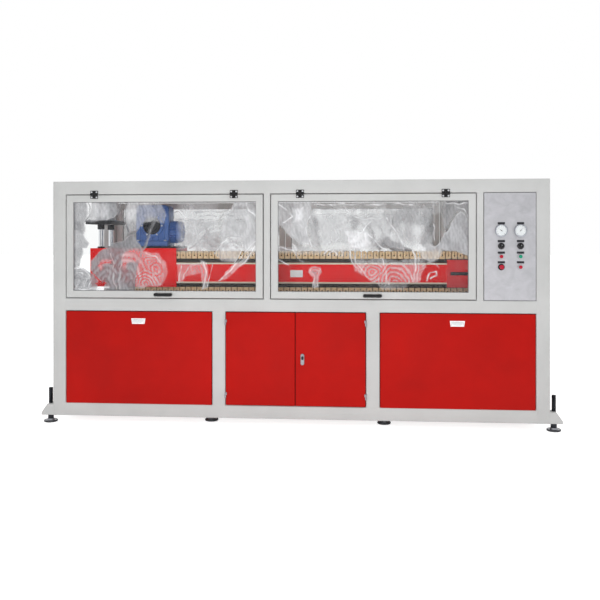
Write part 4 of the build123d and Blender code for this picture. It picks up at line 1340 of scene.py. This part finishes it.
# Driven tracks
PIN_ABOVE_BEAM = 0.0105
CHAIN_PITCH = 0.01905
LINK_RADIUS = 0.009
LINK_WAIST = 0.0065
LINK_PLATE = 0.0022
STRANDS = (-0.1, 0.1)
STRAND_HALF = 0.0135
OUTER_HALF = STRAND_HALF + LINK_PLATE * 1.1
ROLLER_RADIUS = 0.006
RIVET_RADIUS = 0.0029
CARRIER_THICKNESS = 0.004
CARRIER_HALF = CHAIN_PITCH * 0.93
PAD_GAP = 0.0055
PAD_CHAMFER = (0.006, 0.009)
KEYHOLE_DEPTH = 0.0265
KEYHOLE_RADIUS = 0.0052
KEYHOLE_SLIT = 0.001
KEYHOLE_MOUTH = 0.25
GUIDE_INNER = 0.12
GUIDE_HEIGHT = 0.0105
GUIDE_PROUD = 0.002


def stadium(distance, radius, left, right, height):
    """Places and turning matrices along a loop that runs right below, up round the right axis, back
    above and down round the left one. A turn of t faces outwards along (sin t, -cos t)."""
    straight, arc = right - left, np.pi * radius
    distance = np.mod(distance, 2 * (straight + arc))
    past_right = np.clip((distance - straight) / radius, 0, np.pi)
    past_left = np.clip((distance - 2 * straight - arc) / radius, 0, np.pi)
    turn = past_right + past_left
    run = np.minimum(distance, straight) - np.clip(distance - straight - arc, 0, straight)
    places = np.zeros((len(distance), 3))
    places[:, 0] = left + run + radius * np.sin(turn)
    places[:, 2] = height - radius * np.cos(turn)
    return places, turn_y(-turn)


def link_plates(spread):
    """Chain plates to both sides of both strands: 130 degrees of arc round each of two pins, drawn in at
    the waist."""
    arc = np.radians(np.linspace(-65, 65, 5))
    end = np.stack([LINK_RADIUS * np.sin(arc), CHAIN_PITCH / 2 + LINK_RADIUS * np.cos(arc)], 1)
    outline = np.concatenate([end, [(LINK_WAIST, 0)], -end, [(-LINK_WAIST, 0)]])
    middles = [y + side * spread for y in STRANDS for side in BOTH]
    return joined([prism(outline, "y", y - LINK_PLATE / 2, y + LINK_PLATE / 2) for y in middles])


def chain_pins():
    """A roller and the rivet through it on each strand."""
    rounds = ((ROLLER_RADIUS, STRAND_HALF, 10), (RIVET_RADIUS, OUTER_HALF + LINK_PLATE, 8))
    return joined([turned([(radius, -half), (radius, half)], (0, y, 0), "y", segments)
                   for y in STRANDS for radius, half, segments in rounds])


def rubber_pad(near, far, half, ends):
    """A pad with chamfered edges and a keyhole slot, its outline carried across the track."""
    chamfer, drop = PAD_CHAMFER
    bulb = np.linspace(KEYHOLE_MOUTH, 2 * np.pi - KEYHOLE_MOUTH, 11)
    keyhole = [(far + KEYHOLE_DEPTH - KEYHOLE_RADIUS * np.cos(t), -KEYHOLE_RADIUS * np.sin(t)) for t in bulb]
    outline = [(near, -half), (far + drop, -half), (far, -half + chamfer), (far, -KEYHOLE_SLIT)]
    outline += keyhole + [(far, KEYHOLE_SLIT), (far, half - chamfer), (far + drop, half), (near, half)]
    return prism(outline, "y", *ends)


def make_track(level, body):
    """Pads, chain strands, pad carriers and cream guide strips of one track, round its two axes."""
    blocks, chain, beam = (box(level + node) for node in ("_track_blocks", "_track_chain", "_track_beam"))
    outer, under_pads, inner = ((ends[1][2] - ends[0][2]) / 2 for ends in (blocks, chain, beam))
    height = (blocks[0][2] + blocks[1][2]) / 2
    left, right = blocks[0][0] + outer, blocks[1][0] - outer
    radius = inner + PIN_ABOVE_BEAM
    around = 2 * (right - left) + 2 * np.pi * radius
    links = 2 * int(around / CHAIN_PITCH / 2)
    step = around / links
    pins = stadium(np.arange(links) * step, radius, left, right, height)
    middles = stadium((np.arange(links) + 0.5) * step, radius, left, right, height)
    even, odd = ([part[first::2] for part in middles] for first in (0, 1))
    near, far = radius - under_pads, radius - outer
    carrier = bar((-CARRIER_HALF, chain[0][1], near), (CARRIER_HALF, chain[1][1], near + CARRIER_THICKNESS),
                  "y", CRISP, 0, 1)
    links_and_carriers = [repeated(link_plates(STRAND_HALF), *even), repeated(link_plates(OUTER_HALF), *odd),
                          repeated(chain_pins(), *pins), repeated(carrier, *even)]
    piece(level + "_roller_chain", links_and_carriers, CHAIN_STEEL, body, level + "_track_chain", sharp=40)
    pad = rubber_pad(near, far, step - PAD_GAP / 2, blocks[:, 1])
    piece(level + "_rubber_pads", repeated(pad, *even), PAD_TAN, body, level + "_track_blocks", sharp=30)
    make_guides(level, body, beam, height, inner)


def make_guides(level, body, beam, height, inner):
    """Cream strips along the beam's four edges, between the housings, where the chain slides."""
    drive, tension = HOUSINGS[level]
    strips = []
    for y_side in BOTH:
        for z_side in BOTH:
            y = sorted((y_side * GUIDE_INNER, y_side * (beam[1][1] + GUIDE_PROUD)))
            z = sorted((height + z_side * inner, height + z_side * (inner - GUIDE_HEIGHT)))
            strips.append(bar((drive[1][0], y[0], z[0]), (tension[0][0], y[1], z[1]), "x", EASED))
    piece(level + "_guide_strips", strips, GUIDE_CREAM, body)


# Housings, adjusting screws and the blank plate on the upper beam
HOUSINGS = {"upper": solids("upper_drive_housing") + solids("upper_tension_housing"),
            "lower": solids("lower_track_housings")}
HOUSING_BOLT = (0.006, 0.005)
BOLT_INSET = 0.02
SLOT_FROM_END = 0.022
SLOT_LENGTH = 0.15
SLIDE_HALF = 0.0108
SLIDE_SINK = 0.0065
SLIDE_THICKNESS = 0.0013
ADJUSTER_RADIUS = 0.006
ADJUSTER_THREAD = (0.006, 0.002)
LOCKING_SCREW = (0.011, 0.008)
LOCKING_SCREW_AWAY = 0.03
BLANK_PLATE = np.array([0.082, 0.0015, 0.046])
BLANK_PLATE_CORNER = 0.003
BLANK_PLATE_EDGE = 0.0005
BLANK_PLATE_LEFT = -0.062
BLANK_PLATE_BELOW = 0.003


def plate_bolts(low, high, columns):
    """Hexagon heads near the edges of both side plates of a housing."""
    xs = np.linspace(low[0] + BOLT_INSET, high[0] - BOLT_INSET, columns)
    return [hex_head((x, face, z), "y", side, *HOUSING_BOLT) for side, face in zip(BOTH, (low[1], high[1]))
            for x in xs for z in (low[2] + BOLT_INSET, high[2] - BOLT_INSET)]


def adjuster(low, high):
    """The black slide that fills the slot of a tension plate, its threaded rod and a locking screw, on
    both sides."""
    middle, start = (low[2] + high[2]) / 2, low[0] + SLOT_FROM_END
    end = start + SLOT_LENGTH
    shapes = []
    for side, face in zip(BOTH, (low[1], high[1])):
        sunk = face - side * SLIDE_SINK
        depths = sorted((sunk, sunk - side * SLIDE_THICKNESS))
        shapes.append(bar((start, depths[0], middle - SLIDE_HALF), (end, depths[1], middle + SLIDE_HALF),
                          "y", EASED))
        shapes.append(threaded((start, sunk, middle), "x", ADJUSTER_RADIUS, SLOT_LENGTH, *ADJUSTER_THREAD,
                               14))
        shapes.append(hex_head((end + LOCKING_SCREW_AWAY, face, middle), "y", side, *LOCKING_SCREW))
    return joined(shapes)


def make_housings():
    """Fasteners of the drive and tension housings, and the blank plate."""
    for level, body in (("upper", "upper_track"), ("lower", "frame")):
        drive, tension = HOUSINGS[level]
        bolts = plate_bolts(*drive, 4) + plate_bolts(*tension, 2)
        piece(level + "_housing_bolts", bolts, TRACK_RED_PAINTED_LIGHTER, body, sharp=25)
        piece(level + "_tension_screws", adjuster(*tension), BLACK_STEEL, body, sharp=50)
    beam = box("upper_track_beam")
    middle = (beam[0][2] + beam[1][2]) / 2 - BLANK_PLATE_BELOW
    corner = np.array([BLANK_PLATE_LEFT, beam[0][1] - BLANK_PLATE[1], middle - BLANK_PLATE[2] / 2])
    plate = bar(corner, corner + BLANK_PLATE, "y", BLANK_PLATE_CORNER, BLANK_PLATE_EDGE)
    piece("blank_beam_plate", plate, PLATE_WHITE, "upper_track")


# Gearbox and motor, with the corner and edge radii of their blocks
CASE_HALF = 0.072
CASE_LIFT = 0.01
CASE_ROUNDING = (0.03, 0.009)
FLANGE_HALF = 0.098
FLANGE_HEIGHT = 0.036
FLANGE_ROUNDING = (0.012, 0.006)
STEEL_PLATE_ROUNDING = (0.006, 0.0015)
RIB_COUNT = 5
RIB_HALF = 0.004
RIB_ROUNDING = (0.0035, 0.003)
RIB_INSET = 0.03
RIB_PROUD = 0.007
RIB_DROP = 0.035
SHAFT_HEIGHT = 0.138
BOSS_PROUD = 0.012
GEARBOX_BOSS = [(0.078, -0.01), (0.078, 0.008), (0.074, BOSS_PROUD)]
BACK_BOSS = [(0.05, -0.01), (0.05, 0.006), (0.046, 0.009)]
GEARBOX_COVER = [(0.059, 0), (0.059, 0.004), (0.055, 0.0075), (0.03, 0.0078), (0.028, 0.006)]
COVER_BOLT = (0.0045, 0.004)
COVER_BOLT_RING = 0.068
FLANGE_BOLT = (0.008, 0.007)
FLANGE_BOLT_INSET = 0.022
FLANGE_BOLT_Y = 0.086
BASE_BOLT = (0.007, 0.006)
BASE_BOLT_INSETS = (0.02, 0.055)
BASE_BOLT_Y = 0.095
FIN_COUNT = 24
FIN_SHARES = (0.0, 0.28, 0.36, 0.64, 0.72)
FIN_HEIGHT = 0.011
BARREL_STEP = 0.004
BARREL_SHRINK = 0.93
COWL_START = 0.046
# Radii, distances and shares of the length, the last rows in rings of a grille
FAN_COWL = [(0.066, -0.001), (0.072, 0.001), (0.072, 0, 0.7), (0.066, 0, 0.95), (0.056, 0, 1),
            (0.052, -0.002, 1)]
FAN_COWL += [(0.05 - step * 0.006, -0.004 - 0.002 * (step % 2), 1) for step in range(7)]


def finned_barrel(centre, length, tip):
    """A motor body: a circle that steps out from its root to its fins and back, FIN_COUNT times."""
    angle = (np.arange(FIN_COUNT)[:, None] + np.array(FIN_SHARES)[None]).ravel() * 2 * np.pi / FIN_COUNT
    root = tip - FIN_HEIGHT
    radius = np.tile([root, root, tip, tip, root], FIN_COUNT)
    ends = np.array([0, BARREL_STEP, length - BARREL_STEP, length])[:, None]
    return rings(centre, "x", ends, np.array([BARREL_SHRINK, 1, 1, BARREL_SHRINK])[:, None] * radius, angle)


def standing_bolts(xs, ys, z, radius, height):
    """Hexagon heads on a level face, in rows and columns."""
    return [hex_head((x, y, z), "z", 1, radius, height) for x in xs for y in ys]


def gearbox_ribs(low, high, foot_top):
    """Upright ribs on both sides of the case."""
    shapes = []
    for side in BOTH:
        y = sorted((side * (CASE_HALF - RIB_HALF), side * (CASE_HALF + RIB_PROUD)))
        for x in np.linspace(low[0] + RIB_INSET, high[0] - RIB_INSET, RIB_COUNT):
            shapes.append(bar((x - RIB_HALF, y[0], foot_top - RIB_HALF),
                              (x + RIB_HALF, y[1], high[2] - RIB_DROP), "z", *RIB_ROUNDING))
    return shapes


def make_gearbox():
    """A cast case on a foot flange, with side ribs, a round boss and a black cover."""
    low, high = box("gearbox")
    x, z, foot_top = (low[0] + high[0]) / 2, low[2] + SHAFT_HEIGHT, low[2] + FLANGE_HEIGHT
    cover_face = -CASE_HALF - BOSS_PROUD
    case_low, case_high = (low[0], -CASE_HALF, low[2] + CASE_LIFT), (high[0], CASE_HALF, high[2])
    flange_low, flange_high = (low[0], -FLANGE_HALF, low[2]), (high[0], FLANGE_HALF, foot_top)
    casting = [bar(case_low, case_high, "y", *CASE_ROUNDING, 4),
               bar(flange_low, flange_high, "z", *FLANGE_ROUNDING),
               turned(GEARBOX_BOSS, (x, -CASE_HALF, z), "y", 64, -1),
               turned(BACK_BOSS, (x, CASE_HALF, z), "y", 48)]
    casting += gearbox_ribs(low, high, foot_top)
    piece("gearbox_casting", casting, BLUE_ENAMEL, "upper_track", "gearbox")
    cover = turned(GEARBOX_COVER, (x, cover_face, z), "y", 56, -1)
    piece("gearbox_cover", cover, BLACK_STEEL, "upper_track", "gearbox")
    ring = np.arange(6) * np.pi / 3
    bolts = [hex_head((x + across, cover_face, z + up), "y", -1, *COVER_BOLT)
             for across, up in zip(COVER_BOLT_RING * np.cos(ring), COVER_BOLT_RING * np.sin(ring))]
    bolts += standing_bolts((low[0] + FLANGE_BOLT_INSET, high[0] - FLANGE_BOLT_INSET),
                            (-FLANGE_BOLT_Y, FLANGE_BOLT_Y), foot_top, *FLANGE_BOLT)
    plate_low, plate_high = box("motor_base_plate")
    bolts += standing_bolts([plate_high[0] - inset for inset in BASE_BOLT_INSETS],
                            (-BASE_BOLT_Y, BASE_BOLT_Y), plate_high[2], *BASE_BOLT)
    piece("gearbox_bolts", bolts, ZINC, "upper_track", sharp=25)
    plate = bar(plate_low, plate_high, "z", *STEEL_PLATE_ROUNDING)
    piece("drive_base_plate", plate, BLACK_STEEL, "upper_track", "motor_base_plate")


def make_motor():
    """A finned motor body and its fan cowl, whose end steps in to a ringed grille."""
    low, high = box("drive_motor")
    z, tip, start = (low[2] + high[2]) / 2, (high[2] - low[2]) / 2, low[0] + COWL_START
    body = finned_barrel((low[0], 0, z), COWL_START, tip)
    cowl = turned(sized(FAN_COWL, 1, high[0] - start), (start, 0, z), "x", 64)
    piece("motor_body", [body, cowl], BLUE_ENAMEL, "upper_track", "drive_motor")


# Lift
COLLAR_RADIUS = 0.023
COLLAR_HEIGHT = 0.034
COLLAR_BORE = 0.0166
BRIDGE_THICKNESS = 0.025
BRIDGE_BOLT = (0.0075, 0.007)
BRIDGE_BOLT_INSET = 0.02
BRIDGE_BOLT_ROWS = (-0.14, 0, 0.14)
CYLINDER_RADIUS = 0.032
ROD_RADIUS = 0.016
ROD_NUT = [(0.024, 0), (0.025, 0.0015), (0.025, 0.0095), (0.023, 0.011), (ROD_RADIUS, 0.011)]
LIFT_COLLAR = [(COLLAR_BORE, 0), (COLLAR_RADIUS - 0.002, 0), (COLLAR_RADIUS, 0.002),
               (COLLAR_RADIUS, COLLAR_HEIGHT), (COLLAR_BORE, COLLAR_HEIGHT), (COLLAR_BORE, 0)]
# Radii, distances and shares of the length
ROD = [(ROD_RADIUS, 0), (ROD_RADIUS, -0.002, 1), (ROD_RADIUS - 0.002, 0, 1)]
CAPPED_BARREL = [
    (CYLINDER_RADIUS, 0), (CYLINDER_RADIUS, 0.02), (CYLINDER_RADIUS - 0.001, 0.021),
    (CYLINDER_RADIUS - 0.003, 0.0215), (CYLINDER_RADIUS - 0.003, -0.0215, 1),
    (CYLINDER_RADIUS - 0.001, -0.021, 1), (CYLINDER_RADIUS, -0.02, 1), (CYLINDER_RADIUS, 0, 1),
]


def make_rods():
    """Chromed rods, each with its foot nut, and the places that they stand on."""
    rods, nuts, places = [], [], []
    for low, high in solids("piston_rods"):
        x, y, _ = (low + high) / 2
        rods.append(turned(sized(ROD, 1, high[2] - low[2]), (x, y, low[2]), "z", 32))
        nuts.append(turned(ROD_NUT, (x, y, low[2]), "z", 6))
        places.append((x, y))
    piece("chromed_rods", rods, CHROME, "upper_track", "piston_rods")
    piece("rod_foot_nuts", nuts, BLACK_STEEL, "upper_track", sharp=25)
    return places


def make_lift():
    """The rods and their cylinders: collars, bridge plates, barrels and end caps."""
    places = make_rods()
    low, high = box("lift_cylinders")
    bridge_bottom = low[2] + COLLAR_HEIGHT
    bridge_top = bridge_bottom + BRIDGE_THICKNESS
    barrel = sized(CAPPED_BARREL, 1, high[2] - bridge_top)
    collars = [turned(LIFT_COLLAR, (x, y, low[2]), "z", 32, solid=False) for x, y in places]
    barrels = [turned(barrel, (x, y, bridge_top), "z", 40) for x, y in places]
    bridges, bolts = [], []
    for low_end, high_end in solids("lift_cylinders"):
        bridges.append(bar((*low_end[:2], bridge_bottom), (*high_end[:2], bridge_top), "z",
                           *STEEL_PLATE_ROUNDING))
        bolts += standing_bolts((low_end[0] + BRIDGE_BOLT_INSET, high_end[0] - BRIDGE_BOLT_INSET),
                                BRIDGE_BOLT_ROWS, bridge_top, *BRIDGE_BOLT)
    piece("lift_collars", collars + bridges, BLACK_STEEL, node="lift_cylinders")
    piece("lift_barrels", barrels, ALUMINIUM, node="lift_cylinders")
    piece("bridge_bolts", bolts, ZINC, sharp=25)


# Stage, light and camera
FLOOR_REFLECTANCE = 0.88
FLOOR_LIFT = 0.8
FLOOR_REACH = 60
WORLD_FILL = 0.5
# Place, aim, size in metres and power in watts
SOFT_BOXES = {
    "front_soft_box": ((-0.3, -4.6, 0.8), (0, 0, 0.6), 2.6, 104),
    "right_soft_box": ((3.6, -1.8, 2.8), (0.4, 0, 0.7), 2.4, 20),
    "top_soft_box": ((0, 0.8, 4.2), (0, 0, 1.0), 3.2, 22),
    "back_soft_box": ((0.5, 4.6, 2.4), (0, 0, 0.9), 2.6, 60),
}


def seen_straight(tree):
    """1 for rays of the camera, of mirrors and of glass, and 0 for the rest."""
    path = add(tree, "LightPath").outputs
    sharp = combined(tree, "MAXIMUM", path["Is Camera Ray"], path["Is Glossy Ray"])
    return combined(tree, "MAXIMUM", sharp, path["Is Transmission Ray"])


def make_world():
    """White for the camera, mirrors and glass, and a soft even fill for everything else."""
    world = bpy.data.worlds.new("white_studio")
    world.use_nodes = True
    tree = world.node_tree
    tree.nodes.clear()
    strength = ranged(tree, seen_straight(tree), WORLD_FILL, 1.0, 0, 1)
    background = add(tree, "Background", Color=(1, 1, 1, 1), Strength=strength)
    add(tree, "OutputWorld", Surface=background.outputs[0])
    bpy.context.scene.world = world


def make_floor():
    """A pale matt floor, lifted towards white for the eye, that keeps the soft shadow."""
    finish, tree, _ = new_finish("studio_floor")
    diffuse = add(tree, "BsdfDiffuse", Color=(FLOOR_REFLECTANCE,) * 3 + (1,))
    glow = add(tree, "Emission", Strength=ranged(tree, seen_straight(tree), 0, FLOOR_LIFT, 0, 1))
    closed(finish, add(tree, "AddShader", _0=diffuse.outputs[0], _1=glow.outputs[0]))
    mesh = bpy.data.meshes.new("studio_floor")
    corners = [(x * FLOOR_REACH, y * FLOOR_REACH, 0) for x, y in ((-1, -1), (1, -1), (1, 1), (-1, 1))]
    mesh.from_pydata(corners, [], [(0, 1, 2, 3)])
    mesh.materials.append(finish)
    floor = bpy.data.objects.new("studio_floor", mesh)
    bpy.context.scene.collection.objects.link(floor)


def make_lamps():
    """Large soft boxes, each turned to face a place on the machine."""
    for name, (place, target, size, power) in SOFT_BOXES.items():
        lamp = bpy.data.lights.new(name, "AREA")
        lamp.size, lamp.energy = size, power
        holder = bpy.data.objects.new(name, lamp)
        direction = np.array(target) - np.array(place)
        holder.location = place
        holder.rotation_euler = (math.acos(-direction[2] / np.linalg.norm(direction)), 0,
                                 math.atan2(direction[1], direction[0]) - math.pi / 2)
        holder.visible_camera = False
        holder.visible_glossy = False
        bpy.context.scene.collection.objects.link(holder)


def make_camera():
    """The photograph's own place, turn, lens and horizon."""
    lens = bpy.data.cameras.new("photo_camera")
    lens.sensor_width = SENSOR_MM
    lens.lens = SENSOR_MM * FOCAL_PIXELS / PHOTO_PIXELS
    lens.shift_y = (HORIZON_PIXEL - CENTRE_PIXEL) / PHOTO_PIXELS
    camera = bpy.data.objects.new("photo_camera", lens)
    camera.location = CAMERA_PLACE
    camera.rotation_euler = (math.pi / 2, 0, CAMERA_TURN)
    bpy.context.scene.collection.objects.link(camera)
    bpy.context.scene.camera = camera


# Finishes for the CAD nodes that stay in sight
KEPT_NODES = {
    "left_guard_pane": CLEAR_SHEET, "right_guard_pane": CLEAR_SHEET, "back_guard_panes": CLEAR_SHEET,
    "upper_track_beam": TRACK_RED_PAINTED_LIGHTER, "lower_track_beam": TRACK_RED_PAINTED_LIGHTER, "upper_drive_housing": TRACK_RED_PAINTED_LIGHTER,
    "upper_tension_housing": TRACK_RED_PAINTED_LIGHTER, "lower_track_housings": TRACK_RED_PAINTED_LIGHTER, "lower_track_stands": GREY_COAT,
}


def fit_cad_materials():
    for name, finish in KEPT_NODES.items():
        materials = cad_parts[name].data.materials
        materials.clear()
        materials.append(finish)


make_tube_frame()
dressed("frame_gussets", "outrigger_gussets", gusset, GREY_COAT, bevel=GUSSET_BEVEL)
make_feet()
make_panels()
make_cabinet()
make_guards()
make_films()
make_control_station()
make_track("upper", "upper_track")
make_track("lower", "frame")
make_housings()
make_gearbox()
make_motor()
make_lift()
fit_cad_materials()
make_world()
make_floor()
make_lamps()
make_camera()
bpy.context.scene.view_settings.view_transform = "Standard"
bpy.context.scene.cycles.transparent_max_bounces = 24
